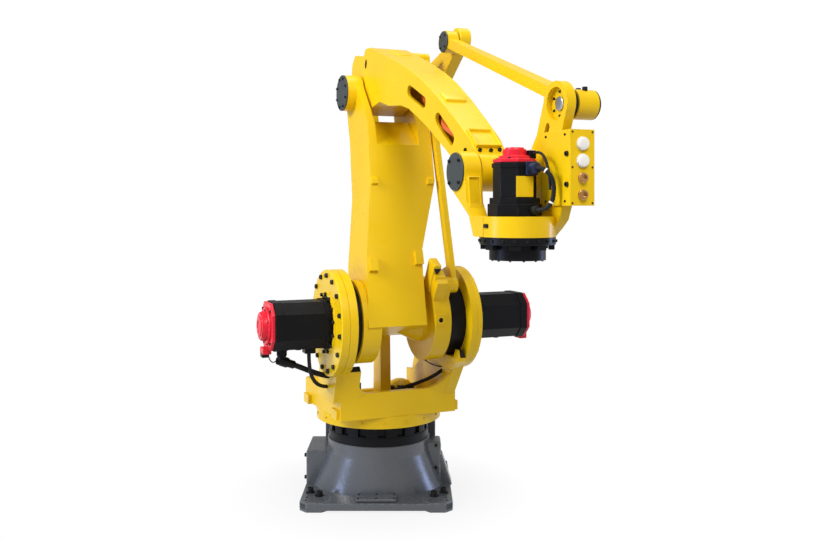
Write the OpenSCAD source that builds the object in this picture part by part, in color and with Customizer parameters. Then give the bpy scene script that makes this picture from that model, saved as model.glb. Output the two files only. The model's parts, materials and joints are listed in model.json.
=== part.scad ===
// Four-axis palletizing robot arm with two parallel-link trains.
// Origin: centre of the foot's underside, on the upright axis. +Z up, -Y is the base's front.

/* [Stance] */
// Turn of the turret about the upright axis, from the base's front
turret_yaw = 22; // [10:1:30]
// Backward lean of the lower arm
arm_lean = 16.5; // [14:0.5:18]
// Downward slope of the boom
boom_droop = 19.5; // [18:0.5:21]

/* [Reach] */
// Forward offset of the shoulder axis from the upright axis
shoulder_reach = 333; // [325:1:340]
// Height of the shoulder axis above the floor
shoulder_z = 931; // [920:1:945]
// Lower arm length, shoulder to elbow
arm_len = 1188; // [1170:1:1210]
// Boom length, elbow to wrist
boom_len = 1352; // [1330:1:1380]
// Forward offset of the tool axis from the wrist pivot
tool_reach = 230; // [225:1:236]

/* [Base] */
// Width and depth of the square foot
foot_w = 750; // [740:1:760]
// Thickness of the foot
foot_t = 48; // [44:1:54]
// Chamfer on the foot's corners
foot_corner = 38; // [30:1:44]
// Length of the pads at the foot's corners
pad_len = 150; // [130:1:170]
// Relief under the foot between the pads
pad_rise = 9; // [6:1:12]
// Radius of the collar and of the skirt's top
collar_r = 266; // [264:1:270]
// Height of the skirt's top
skirt_z = 229; // [220:1:236]
// Height of the collar's top
collar_z = 287; // [282:1:292]
// Radius of the bearing ring
bearing_r = 260; // [256:1:263]
// Half width of the outer anchor-bolt rectangle
outer_anchor_x = 335; // [330:1:340]
// Half depth of the outer anchor-bolt rectangle
outer_anchor_y = 210; // [205:1:215]
// Half width of the inner anchor-bolt rectangle
inner_anchor_x = 285; // [280:1:290]
// Half depth of the inner anchor-bolt rectangle
inner_anchor_y = 265; // [260:1:270]
// Radius of the anchor-bolt holes
anchor_r = 13; // [11:0.5:14]

/* [Turret] */
// Radius of the turret's disc
disc_r = 323; // [318:1:330]
// Height of the disc's underside
disc_z = 392; // [390:1:396]
// Height of the disc's top
disc_top_z = 450; // [445:1:455]
// Height of the low front wall's top
wall_top_z = 575; // [565:1:590]
// Forward face of the turret
turret_front = 316; // [310:1:320]
// Half width of the turret's tub at its front
tub_half_w = 296; // [294:1:300]
// Thickness of the tub's walls
tub_wall = 34; // [28:1:40]
// Radius of the shoulder rings
ring_r = 252; // [246:1:258]
// Radius of the reducer bodies between the rings and the arm
reducer_r = 185; // [180:1:186]
// Width across the flats of the shoulder motors
motor_w = 218; // [205:1:224]

/* [Arm] */
// Radius of the lower arm's driven hub
hub_r = 200; // [196:1:204]
// Distance from the arm's axis to its front face
arm_front = 200; // [196:1:204]
// Distance from the arm's axis to its rear face
arm_rear = 95; // [90:1:100]
// Radius of the elbow bosses
elbow_r = 92; // [88:1:94]
// Half width of the gap between the arm's ears
fork_half = 112; // [112:1:114]
// Depth of that gap below the elbow axis
fork_depth = 190; // [185:1:196]
// Radius of the elbow shaft
elbow_shaft_r = 45; // [40:1:48]

/* [Boom] */
// Half width of the boom at the elbow
boom_half = 105; // [100:1:106]
// Half width of the boom at the wrist
boom_end_half = 66; // [62:1:67]
// Wall thickness of the boom's box section
boom_wall = 18; // [14:1:22]
// Radius of the boom's wrist end
boom_end_r = 76; // [72:1:78]

/* [Links] */
// Radius from the shoulder axis to the crank pin
crank_r = 240; // [238:1:243]
// Angle of the crank above the horizontal
crank_angle = 47; // [45:1:49]
// Radius of the crank disc
crank_disc_r = 205; // [200:1:208]
// Half width of the drive rod
rod_half_w = 24; // [20:1:26]
// Radius of the link pins
pin_r = 22; // [20:1:24]
// Backward offset of the rear levelling pivots from the shoulder and from the elbow
rear_pivot_back = 330; // [325:1:335]
// Upward offset of those pivots
rear_pivot_up = 60; // [55:1:65]
// Forward offset of the upper levelling pivots from the elbow and from the wrist
upper_pivot_reach = 336; // [332:1:340]
// Upward offset of those pivots
upper_pivot_up = 238; // [234:1:242]
// Half height of the upper link's bar
link_half_h = 23; // [20:1:26]

/* [Wrist] */
// Radius of the wrist pivot's bosses
wrist_r = 80; // [76:1:82]
// Radius of the wrist pin
wrist_pin_r = 35; // [32:1:38]
// Radius of the tool housing
housing_r = 140; // [137:1:143]
// Drop of the housing's top below the wrist pivot
housing_top = 170; // [168:1:174]
// Height of the housing
housing_h = 75; // [70:1:80]
// Height of the tool reducer's ring
ring_h = 28; // [25:1:32]
// Radius of the tool flange
flange_r = 104; // [102:1:108]
// Height of the tool flange
flange_h = 56; // [50:1:60]
// Radius of the tool flange's bolt circle
tool_bolt_r = 80; // [76:1:84]
// Radius of the tool flange's tapped holes
tool_hole_r = 5.1; // [4.2:0.1:6]
// Radius of the tool flange's pilot bore
pilot_r = 50; // [45:1:55]
// Width across the flats of the tool motor
tool_motor_w = 150; // [144:1:156]

/* [Hidden] */
$fn = 96;
// Facets on a blended shell
shell_fn = 32;
// Overrun of a cut past the face it opens
over = 3;
// Gap between faces that turn on each other
face_gap = 0.5;
// Radial play of a pin in a pivot
pin_fit = 0.05;
// Radial play of a pin in a pivot that is left open
open_fit = 0.5;

// Lateral stations, from the drive side (negative) to the crank side (positive)
j2_face_y = -384;
j2_ring_y = -345;
j2_band_y = -307;
j2_hub_y = -265;
j2_hub_in_y = -175;
left_web_y = -222;
arm_hub_y = 70;
crank_in_y = 90;
crank_out_y = 175;
rod_in_y = 187;
rod_out_y = 213;
pin_end_y = 216;
j3_band_y = 262;
right_ledge_y = 236;
j3_ring_y = 291;
j3_face_y = 318;
post_in_y = -10;
post_out_y = 45;
lower_link_out_y = 90;
link_in_y = 228;
link_out_y = 285;
knuckle_in_y = 95;
knuckle_out_y = 132;
link_eye_y = 165;
link_eye_end_y = 249;
rocker_in_y = 292;
rocker_out_y = 352;
ear_out_y = -150;
right_ear_y = 175;
elbow_boss_y = -195;
cap_t = 8;
wrist_ear_in_y = 72;
wrist_boss_y = -142;

// Pivot places in the turret's own plane, as [forward, up]
shoulder = [shoulder_reach, shoulder_z];
elbow = shoulder + arm_len * [-sin(arm_lean), cos(arm_lean)];
wrist = elbow + boom_len * [cos(boom_droop), -sin(boom_droop)];
crank_pin = crank_r * [cos(crank_angle), sin(crank_angle)];
rear_pivot = [-rear_pivot_back, rear_pivot_up];
upper_pivot = [upper_pivot_reach, upper_pivot_up];

// Octagon chamfers as shares of the motors' widths
motor_chamfer_share = 0.225;
tool_chamfer_share = 0.3;
// Places along the boom and heights above its axis, as shares of its length
boom_top_shares = [[-0.125, 0.09], [-0.1, 0.13], [0, 0.145], [0.012, 0.176], [0.05, 0.188],
    [0.17, 0.19], [0.31, 0.19], [0.46, 0.184], [0.57, 0.172], [0.7, 0.148], [0.84, 0.113],
    [0.945, 0.085], [1, 0.055]];
boom_low_shares = [[1, -0.054], [0.94, -0.04], [0.827, 0.003], [0.645, 0.04], [0.55, 0.053],
    [0.475, 0.06], [0.41, 0.054], [0.305, 0.027], [0.215, 0.02], [0.165, -0.007],
    [0.075, -0.066], [-0.05, -0.072], [-0.115, -0.02]];
// Heights along the arm as shares of its length, and half widths to each side as shares of its widest
arm_left_shares = [[-0.054, -1], [0.24, -0.9], [0.545, -0.675], [0.8, -0.612], [1.09, -0.612]];
arm_right_shares = [[1.09, 0.713], [0.72, 0.732], [0.545, 0.704], [0.24, 0.243], [-0.054, 0.184]];

yellow = "#f0c20a";
grey = "#5d636b";
black = "#202124";
red = "#d3202b";
slate = "#4d5654";
steel = "#a9adb2";

// Turret frame: x forward, y toward the crank side, z up
module in_turret() rotate([0, 0, turret_yaw - 90]) children();
module at_pivot(p) in_turret() translate([p[0], 0, p[1]]) children();
module in_arm() at_pivot(shoulder) rotate([0, -arm_lean, 0]) children();
module in_boom() at_pivot(elbow) rotate([0, boom_droop, 0]) children();

// A flat [forward, up] outline made solid between two lateral stations
module slab(y0, y1) translate([0, y1, 0]) rotate([90, 0, 0]) linear_extrude(y1 - y0) children();
module drum(p, r, y0, y1) translate([p[0], y1, p[1]]) rotate([90, 0, 0]) cylinder(r = r, h = y1 - y0);
module disc_at(p, r) translate(p) circle(r = r);

// A straight tapered web between two points of an outline
module web(p, q, half_p, half_q) {
    d = (q - p) / norm(q - p);
    n = [-d[1], d[0]];
    polygon([p + n * half_p, q + n * half_q, q - n * half_q, p - n * half_p]);
}

module octagon(w, chamfer_share = motor_chamfer_share) {
    c = w * chamfer_share;
    h = w / 2;
    polygon([[h - c, -h], [h, c - h], [h, h - c], [h - c, h],
        [c - h, h], [-h, h - c], [-h, c - h], [c - h, -h]]);
}

// A round cable swept along a route, with one ring of points at each place
cable_sides = 10;
function way(route, i) = let (a = route[max(i - 1, 0)], b = route[min(i + 1, len(route) - 1)])
    (b - a) / norm(b - a);
function side_of(t) = let (s = cross(t, abs(t[2]) > 0.9 ? [1, 0, 0] : [0, 0, 1])) s / norm(s);
function ring(c, t, r) = let (u = side_of(t), v = cross(u, t))
    [for (k = [0:cable_sides - 1]) c + r * (cos(360 * k / cable_sides) * u + sin(360 * k / cable_sides) * v)];
module cable(route, r) {
    n = len(route);
    points = [for (i = [0:n - 1]) each ring(route[i], way(route, i), r)];
    skin = [for (i = [0:n - 2], k = [0:cable_sides - 1])
        let (a = i * cable_sides + k, b = i * cable_sides + (k + 1) % cable_sides)
        [a, b, b + cable_sides, a + cable_sides]];
    first = [[for (k = [cable_sides - 1:-1:0]) k]];
    last = [[for (k = [0:cable_sides - 1]) (n - 1) * cable_sides + k]];
    polyhedron(points, concat(skin, first, last));
}
// Points of a smooth curve through four handles
function bend(a, b, c, d, n) = [for (i = [0:n]) let (t = i / n, s = 1 - t)
    s * s * s * a + 3 * s * s * t * b + 3 * s * t * t * c + t * t * t * d];

// Base

// Half width and half depth of the skirt's foot, as shares of the collar's radius
skirt_wide_share = 1.31;
skirt_deep_share = 0.98;
// Wiring box on one side and rib on the other, as shares of the foot's half width
box_front_share = -0.16;
box_back_share = 0.62;
box_in_share = 0.667;
rib_back_share = 0.2;
rib_top_share = 0.885;
box_top_z = 215;
box_front = foot_w / 2 * box_front_share;
box_back = foot_w / 2 * box_back_share;
box_in = foot_w / 2 * box_in_share;
rib_back = foot_w / 2 * rib_back_share;
rib_top = foot_w / 2 * rib_top_share;

module foot_outline() {
    h = foot_w / 2;
    c = h - foot_corner;
    polygon([[c, -h], [h, -c], [h, c], [c, h], [-c, h], [-h, c], [-h, -c], [-c, -h]]);
}
anchors = [[outer_anchor_x, outer_anchor_y], [inner_anchor_x, inner_anchor_y]];
module anchor_holes() for (p = anchors, side = [-1, 1], end = [-1, 1])
    translate([side * p[0], end * p[1], -over]) cylinder(r = anchor_r, h = foot_t + 2 * over);
module base_casting() color(grey) difference() {
    union() {
        linear_extrude(foot_t) foot_outline();
        hull() {
            translate([0, 0, foot_t - over]) scale([skirt_wide_share, skirt_deep_share, 1])
                cylinder(r = collar_r, h = over, $fn = shell_fn);
            translate([0, 0, skirt_z - over]) cylinder(r = collar_r, h = over, $fn = shell_fn);
        }
        translate([0, 0, foot_t]) cylinder(r = collar_r, h = collar_z - foot_t);
        translate([-foot_w / 2, box_front, 0]) cube([foot_w / 2 - box_in, box_back - box_front, box_top_z]);
        slab(box_front, rib_back) polygon([[box_in, 0], [foot_w / 2, 0], [foot_w / 2, foot_t],
            [rib_top, box_top_z], [box_in, box_top_z]]);
    }
    anchor_holes();
    // Relief under the foot between its corner pads
    for (turn = [0, 90, 180, 270]) rotate([0, 0, turn])
        translate([pad_len - foot_w / 2, -foot_w / 2 - over, -over])
            cube([foot_w - 2 * pad_len, foot_corner + over, pad_rise + over]);
}

module base_ring() color(black) translate([0, 0, collar_z])
    cylinder(r = bearing_r, h = disc_z - face_gap - collar_z);

cover_w = 196;
cover_t = 12;
cover_gap = 8;
cover_d = foot_w / 2 - foot_corner / 2 - collar_r - cover_gap;
module base_cover() color(grey) translate([-cover_w / 2, -foot_w / 2 + foot_corner / 2, foot_t])
    cube([cover_w, cover_d, cover_t]);

rear_half_w = 305;
rear_t = 30;
rear_top_z = 374;
rear_y = collar_r + over;
module rear_plate() color(grey) translate([-rear_half_w, rear_y, foot_t])
    cube([2 * rear_half_w, rear_t, rear_top_z - foot_t]);

// Turret

turret_back = -262;
back_lip = 24;
tub_corner = 62;
// Half width of the tub at its rear, as a share of that at its front
tub_rear_share = 1.15;
tub_rear_half = tub_half_w * tub_rear_share;
upright_front_angle = -35;
upright_rear_angle = 165;
// Forward lean of each upright's front column and the height it leans to
drive_lean = 370;
crank_lean = 448;
lean_z = 660;
seat_z = 694;
column_z = 722;
// Seat of the crank's stop, in front of the crank-side upright
seat_reach = 515;
seat_top_z = 752;
seat_in_y = 212;
// Rear edge of each upright
drive_back = 50;
crank_back = -120;
web_back = -150;
web_top = [web_back, wall_top_z];
post_half = 42;
post_foot_half = 60;
rear_post = shoulder + rear_pivot;
rear_pin_r = 25;
hub_clear = 214;

module upright_outline(lean, foot_x, back_x) difference() {
    union() {
        disc_at(shoulder, ring_r);
        polygon([[foot_x, wall_top_z - tub_wall], [turret_front, wall_top_z - tub_wall], lean,
            shoulder + ring_r * [cos(upright_front_angle), sin(upright_front_angle)],
            shoulder + ring_r * [cos(upright_rear_angle), sin(upright_rear_angle)], [back_x, column_z]]);
    }
    disc_at(shoulder, reducer_r + face_gap);
}
// The part of an upright below what turns inside it
module ledge_outline(lean, clear_r) difference() {
    polygon([[web_back, disc_top_z], [turret_front, disc_top_z], [turret_front, wall_top_z - tub_wall],
        lean, [turret_front, lean[1]], [0, lean_z], web_top]);
    disc_at(shoulder, clear_r);
}
left_corner_r = 40;
right_corner_r = 80;
rise_h = 42;
tab_front = 206;
tab_rear = -190;
tab_len = 84;
tab_out = 26;
tab_h = 46;
// Fillet in the plane of the front wall, between its top and an upright's inner face
module front_corner(y, side, r) translate([turret_front - tub_wall, y, wall_top_z - over]) rotate([90, 0, 90])
    linear_extrude(tub_wall) difference() {
        polygon([[-side * over, 0], [side * r, 0], [side * r, over],
            [0, r + over], [-side * over, r + over]]);
        disc_at([side * r, r + over], r);
    }
module turret_casting() color(yellow) in_turret() {
    translate([0, 0, disc_z]) cylinder(r = disc_r, h = disc_top_z - disc_z);
    // Tub with an open top and a low back
    difference() {
        translate([0, 0, disc_top_z]) linear_extrude(wall_top_z - disc_top_z) polygon([
            [turret_front, -tub_half_w], [turret_front, tub_half_w],
            [turret_back + tub_corner, tub_rear_half],
            [turret_back, tub_half_w - tub_wall], [turret_back, tub_wall - tub_half_w],
            [turret_back + tub_corner, -tub_rear_half]]);
        translate([turret_back + tub_wall, tub_wall - tub_half_w, disc_top_z - over])
            cube([turret_front - turret_back - 2 * tub_wall, 2 * (tub_half_w - tub_wall), wall_top_z]);
        translate([turret_back - over, tub_wall - tub_half_w, disc_top_z + back_lip])
            cube([tub_wall + 2 * over, 2 * (tub_half_w - tub_wall), wall_top_z]);
    }
    slab(j2_ring_y, j2_band_y) upright_outline([drive_lean, seat_z], drive_back, drive_back + tub_wall);
    slab(j2_band_y, left_web_y) ledge_outline([drive_lean, seat_z], hub_clear);
    slab(j3_band_y, j3_ring_y) upright_outline([crank_lean, column_z], turret_back + tub_corner, crank_back);
    slab(right_ledge_y, j3_band_y) ledge_outline([crank_lean, column_z], reducer_r + face_gap);
    // Round corners of the front opening
    front_corner(left_web_y, 1, left_corner_r);
    front_corner(right_ledge_y, -1, right_corner_r);
    // Seat of the crank's stop, with a pointed rise beside it
    slab(seat_in_y, j3_band_y) difference() {
        polygon([[turret_front, column_z - tub_wall], [crank_lean - tub_wall / 2, column_z - tub_wall],
            [seat_reach, seat_top_z - tub_wall / 2], [seat_reach, seat_top_z], [turret_front, seat_top_z]]);
        disc_at(shoulder, reducer_r + face_gap);
    }
    translate([seat_reach - rise_h, 0, seat_top_z - over]) rotate([90, 0, 90]) linear_extrude(rise_h)
        polygon([[seat_in_y, 0], [seat_in_y + rise_h / 2, 0], [seat_in_y + rise_h / 3, rise_h]]);
    // Lifting tabs at the tub's lower corners
    for (tab = [[tab_front, -tub_half_w - tab_out], [tab_rear, -tub_rear_half - tab_out / 2],
        [tab_front, tub_half_w - tab_out], [tab_rear, tub_rear_half - tab_out]])
        translate([tab[0], tab[1], disc_top_z]) cube([tab_len, 2 * tab_out, tab_h]);
    // Post and pin of the levelling link
    slab(post_in_y, post_out_y) union() {
        disc_at(rear_post, post_half + tub_wall / 2);
        web([rear_post[0], disc_top_z], rear_post, post_foot_half, post_half);
    }
    drum(rear_post, rear_pin_r, post_in_y, lower_link_out_y + tub_wall / 4);
}

gear_cover_r = 70;
gear_cover_x = -80;
gear_cover_y = 150;
gear_cover_h = 45;
module slew_gear_cover() color(yellow) in_turret() translate([gear_cover_x, gear_cover_y, disc_top_z]) {
    cylinder(r = gear_cover_r, h = gear_cover_h);
    translate([0, 0, gear_cover_h]) cylinder(r1 = gear_cover_r, r2 = gear_cover_r / 2, h = gear_cover_r / 3);
}

motor_seat_r = 128;
module ring_flange(y0, y1) color(yellow) at_pivot(shoulder) slab(y0, y1) difference() {
    circle(r = ring_r);
    circle(r = motor_seat_r);
}
module j2_flange() ring_flange(j2_face_y, j2_ring_y);
module j3_flange() ring_flange(j3_ring_y, j3_face_y);

module j2_reducer() color(black) at_pivot(shoulder) drum([0, 0], reducer_r, j2_ring_y, j2_hub_y);
module j3_reducer() color(black) at_pivot(shoulder)
    drum([0, 0], reducer_r, crank_out_y + face_gap, j3_ring_y);

j2_motor_end = -655;
j3_motor_end = 640;
cap_plate_t = 16;
cap_dome_t = 34;
cap_dome_share = 0.29;
module j2_motor() color(black) at_pivot(shoulder) {
    drum([0, 0], motor_seat_r - face_gap, j2_face_y, j2_ring_y);
    slab(j2_motor_end, j2_face_y) octagon(motor_w);
}
module j3_motor() color(black) at_pivot(shoulder) {
    drum([0, 0], motor_seat_r - face_gap, j3_ring_y, j3_face_y);
    slab(j3_face_y, j3_motor_end) octagon(motor_w);
}
module j2_motor_cap() color(red) at_pivot(shoulder) {
    plate_y = j2_motor_end - cap_plate_t;
    slab(plate_y, j2_motor_end) octagon(motor_w);
    drum([0, 0], motor_w * cap_dome_share, plate_y - cap_dome_t, plate_y);
}
module j3_motor_cap() color(red) at_pivot(shoulder) {
    plate_y = j3_motor_end + cap_plate_t;
    slab(j3_motor_end, plate_y) octagon(motor_w);
    drum([0, 0], motor_w * cap_dome_share, plate_y, plate_y + cap_dome_t);
}

// Rubber stops on the uprights' seats
stop_len = 70;
stop_h = 22;
module j2_stop() color(black) in_turret() slab(j2_band_y, left_web_y)
    polygon([[drive_lean - stop_len, seat_z], [drive_lean, seat_z], [drive_lean - stop_h, seat_z + stop_h],
        [drive_lean - stop_len, seat_z + stop_h / 2]]);
module j3_stop() color(black) in_turret() translate([seat_reach - rise_h, 0, seat_top_z]) rotate([90, 0, 90])
    linear_extrude(rise_h) polygon([[j3_band_y - rise_h / 2, 0], [j3_band_y - face_gap, 0],
        [j3_band_y - rise_h / 2, rise_h], [seat_in_y + rise_h / 2, rise_h],
        [seat_in_y + rise_h / 2, rise_h / 2]]);

turret_cable_r = 9;
cable_steps = 18;
// Cable from the tub's floor, in a low sag, up to the crank-side upright, in shares of the tub's size
turret_cable_shares = [[0.19, -0.135], [0.253, 0], [0.8, 0.42]];
turret_cable_end_share = 0.9;
cable_sag_z = wall_top_z - tub_wall / 2;
function tub_place(i, z) = [turret_front * turret_cable_shares[i][0], tub_half_w * turret_cable_shares[i][1], z];
turret_cable_route = bend(tub_place(0, disc_top_z), tub_place(1, cable_sag_z), tub_place(2, cable_sag_z),
    [turret_front * turret_cable_end_share, right_ledge_y + turret_cable_r, lean_z], cable_steps);
module turret_cable() color(black) in_turret() cable(turret_cable_route, turret_cable_r);

conduit_r = 13;
socket_drop = 60;
socket_in = 55;
socket_at = j2_motor_end + socket_in;
conduit_top = shoulder_z - motor_w / 2 - socket_drop / 2;
// Forward places where the conduit turns and ends, as shares of the shoulder's reach
conduit_turn_share = 0.84;
conduit_end_share = 0.72;
conduit_route = bend([shoulder_reach, socket_at, conduit_top], [shoulder_reach, socket_at, lean_z + socket_drop / 2],
    [shoulder_reach * conduit_turn_share, (socket_at + j2_ring_y) / 2, lean_z],
    [shoulder_reach * conduit_end_share, j2_ring_y, lean_z - face_gap], cable_steps);
elbow_socket_r = 22;
module j2_conduit() color(black) in_turret() {
    cable(conduit_route, conduit_r);
    translate([conduit_route[0][0], conduit_route[0][1], shoulder_z - motor_w / 2 - socket_drop])
        cylinder(r = elbow_socket_r, h = socket_drop);
}

// Lower arm

// Shares of the arm's length: its foot below the shoulder, where its top narrows, where the fork's slope starts
arm_foot_share = 0.054;
arm_top_share = 0.8;
arm_slope_share = 0.7;
neck_r = 60;
neck_end_r = 112;
neck_y = -40;
module arm_side() union() {
    polygon([[arm_front, -arm_foot_share * arm_len], [arm_front, arm_top_share * arm_len], [elbow_r, arm_len],
        [-elbow_r, arm_len], [-arm_rear, arm_top_share * arm_len], [-arm_rear, -arm_foot_share * arm_len]]);
    disc_at([0, arm_len], elbow_r);
}
arm_wide = 245;
module arm_face() polygon([for (p = concat(arm_left_shares, arm_right_shares)) [arm_wide * p[1], arm_len * p[0]]]);
// Lugs and wedge pads on the arm's front face, as [side, height] shares of its widest and of its length
lug_shares = [[-0.8, 0.168], [0.15, 0.19]];
lug_w = 40;
lug_h = 66;
lug_out = 23;
pad_shares = [[-0.6, 0.53], [0.59, 0.53]];
wedge_w = 30;
wedge_h = 44;
wedge_out = 20;
module arm_lugs() {
    for (p = lug_shares) translate([arm_front - lug_out, arm_wide * p[0] - lug_w / 2, arm_len * p[1]])
        cube([2 * lug_out, lug_w, lug_h]);
    for (p = pad_shares) translate([arm_front - over, arm_wide * p[0] + wedge_w / 2, arm_len * p[1]])
        rotate([90, 0, 0]) linear_extrude(wedge_w) polygon([[0, 0], [wedge_out, 0], [wedge_out, wedge_h / 2], [0, wedge_h]]);
}
module j2_arm_casting() color(yellow) in_arm() difference() {
    union() {
        intersection() {
            slab(-arm_len / 2, arm_len / 2) arm_side();
            translate([-arm_len / 2, 0, 0]) rotate([90, 0, 90]) linear_extrude(arm_len) arm_face();
        }
        drum([0, 0], hub_r, j2_hub_y + face_gap, j2_hub_in_y);
        // Dished neck toward the crank
        translate([0, neck_y, 0]) rotate([-90, 0, 0]) cylinder(r1 = neck_r, r2 = neck_end_r, h = arm_hub_y - neck_y);
        drum([0, arm_len], elbow_r, elbow_boss_y, ear_out_y + over);
        arm_lugs();
    }
    // Gap between the ears and the slope below it
    slab(-fork_half, fork_half) polygon([[-arm_len, arm_len - fork_depth], [elbow_r, arm_len - fork_depth],
        [arm_front + over, arm_slope_share * arm_len], [arm_len, arm_slope_share * arm_len],
        [arm_len, 2 * arm_len], [-arm_len, 2 * arm_len]]);
    drum([0, arm_len], elbow_shaft_r + pin_fit, elbow_boss_y - over, right_ear_y * 2);
}
module elbow_shaft() color(steel) at_pivot(elbow) drum([0, 0], elbow_shaft_r, elbow_boss_y, rocker_out_y);
module elbow_cap() color(slate) at_pivot(elbow) drum([0, 0], elbow_r, elbow_boss_y - cap_t, elbow_boss_y);

// Boom

cavity_shares = [[0.4, 0.075], [0.4, 0.17], [0.56, 0.158], [0.84, 0.099], [0.84, 0.018], [0.64, 0.055]];
slot_shares = [[[0.47, 0.118], [0.592, 0.108]], [[0.715, 0.085], [0.827, 0.05]]];
slot_half = 26;
hose_r = 15;
hose_shares = [[0.4, 0.115], [0.84, 0.055]];
lug_r = 27;
function boom_points(shares) = [for (p = shares) boom_len * p];
lug = crank_r * [cos(crank_angle + boom_droop), sin(crank_angle + boom_droop)];
module boom_outline() {
    polygon(boom_points(concat(boom_top_shares, boom_low_shares)));
    disc_at([boom_len, 0], boom_end_r);
}
module boom_plan() polygon([[-boom_len, -boom_half], [0, -boom_half], [boom_len, -boom_end_half],
    [2 * boom_len, -boom_end_half], [2 * boom_len, boom_end_half], [boom_len, boom_end_half], [0, boom_half],
    [-boom_len, boom_half]]);
module boom_casting() color(yellow) in_boom() difference() {
    union() {
        intersection() {
            slab(-boom_half, boom_half) boom_outline();
            translate([0, 0, -boom_len / 2]) linear_extrude(boom_len) boom_plan();
        }
        drum(lug, lug_r, boom_half - boom_wall, rod_in_y - face_gap);
        drum(lug, top_pin_r, rod_in_y - over, pin_end_y);
    }
    // Hollow of the box girder, seen through two slots in the near wall
    intersection() {
        slab(boom_wall - boom_half, boom_half - boom_wall) polygon(boom_points(cavity_shares));
        translate([0, 0, -boom_len / 2]) linear_extrude(boom_len)
            polygon([[0, boom_wall - boom_half], [boom_len, boom_wall - boom_end_half],
                [boom_len, boom_end_half - boom_wall], [0, boom_half - boom_wall]]);
    }
    for (s = slot_shares) slab(-boom_half - over, -boom_end_half + boom_wall) {
        web(boom_len * s[0], boom_len * s[1], slot_half, slot_half);
        for (p = s) disc_at(boom_len * p, slot_half);
    }
    drum([0, 0], elbow_shaft_r + pin_fit, -boom_half - over, boom_half + over);
    drum([boom_len, 0], wrist_pin_r + pin_fit, -boom_half - over, boom_half + over);
}
module boom_hose() color("#e2561f") in_boom() {
    run = boom_len * (hose_shares[1] - hose_shares[0]);
    // Cut flush with the hollow's end walls
    intersection() {
        translate([boom_len * hose_shares[0][0], 0, boom_len * hose_shares[0][1]])
            rotate([0, -atan2(run[1], run[0]), 0]) translate([-boom_half, 0, 0]) rotate([0, 90, 0])
                cylinder(r = hose_r, h = norm(run) + 2 * boom_half);
        translate([boom_len * hose_shares[0][0], -boom_half, -boom_len / 2]) cube([run[0], 2 * boom_half, boom_len]);
    }
}

// Drive crank and rod

eye_r = 38;
top_eye_r = 27;
top_pin_r = 16;
lever_foot_share = 0.5;
lever_half = 74;
// Reach of the horn's top as a share of the crank's radius
horn_share = 1.24;
horn_half = 44;
horn_step = 30;
boss_w = 54;
boss_out = 6;
module j3_crank() color(yellow) at_pivot(shoulder) {
    drum([0, 0], crank_disc_r, crank_in_y, crank_out_y);
    drum([0, 0], neck_end_r, arm_hub_y + face_gap, crank_in_y);
    slab(crank_in_y, crank_out_y) web(crank_pin * lever_foot_share, crank_pin, lever_half, eye_r);
    // Stop horn above the pin, with a notch for its rubber, and the boss of the calibration pin
    slab(crank_in_y, crank_out_y - horn_step) difference() {
        web(crank_pin * lever_foot_share, crank_pin * horn_share, lever_half, horn_half);
        polygon([crank_pin * horn_share + [horn_half, horn_half], crank_pin * horn_share + [-over, horn_half / 2],
            crank_pin + [horn_half, eye_r / 2]]);
    }
    slab(crank_in_y, crank_in_y + boss_w)
        translate([crank_disc_r - boss_w / 2, -boss_w / 4]) square([boss_w / 2 + boss_out, boss_w]);
    drum(crank_pin, eye_r, crank_in_y, rod_in_y - face_gap);
    drum(crank_pin, pin_r, rod_in_y - over, pin_end_y);
}
module j3_rod() color(yellow) in_turret() difference() {
    union() {
        slab(rod_in_y, rod_out_y) web(shoulder + crank_pin, elbow + crank_pin, rod_half_w, rod_half_w);
        drum(shoulder + crank_pin, eye_r, rod_in_y, rod_out_y);
        drum(elbow + crank_pin, top_eye_r, rod_in_y, rod_out_y);
    }
    drum(shoulder + crank_pin, pin_r + pin_fit, rod_in_y - over, rod_out_y + over);
    drum(elbow + crank_pin, top_pin_r + open_fit, rod_in_y - over, rod_out_y + over);
}

// Levelling train

lower_link_half = 36;
lower_eye_r = 52;
module lower_link() color(yellow) in_turret() difference() {
    union() {
        slab(post_out_y + face_gap, lower_link_out_y)
            web(shoulder + rear_pivot, elbow + rear_pivot, lower_link_half, lower_link_half);
        for (p = [shoulder, elbow]) drum(p + rear_pivot, lower_eye_r, post_out_y + face_gap, lower_link_out_y);
    }
    drum(shoulder + rear_pivot, rear_pin_r + pin_fit, post_out_y - over, lower_link_out_y + over);
    drum(elbow + rear_pivot, rear_pin_r + open_fit, post_out_y - over, lower_link_out_y + over);
}

rocker_hub_r = 66;
rocker_eye_r = 58;
rocker_leg_half = 30;
rocker_foot_half = 36;
rocker_crown_up = 16;
cross_r = 38;
module rocker() color(yellow) at_pivot(elbow) difference() {
    union() {
        slab(rocker_in_y, rocker_out_y) union() {
            disc_at([0, 0], rocker_hub_r);
            disc_at(upper_pivot + [0, rocker_crown_up], rocker_eye_r);
            disc_at(rear_pivot, rocker_eye_r);
            web([0, 0], upper_pivot, rocker_foot_half, rocker_leg_half);
            web([0, 0], rear_pivot, rocker_foot_half, rocker_leg_half);
            web(rear_pivot, upper_pivot, rocker_leg_half, rocker_leg_half);
        }
        drum(rear_pivot, cross_r, lower_link_out_y + face_gap, rocker_in_y);
        drum(rear_pivot, rear_pin_r, post_out_y, lower_link_out_y + over);
    }
    drum([0, 0], elbow_shaft_r + pin_fit, rocker_in_y - over, rocker_out_y + over);
    drum(upper_pivot, pin_r + pin_fit, rocker_in_y - over, rocker_out_y + over);
}
module rocker_pin() color(steel) at_pivot(elbow + upper_pivot) drum([0, 0], pin_r, link_in_y, rocker_out_y);

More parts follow.
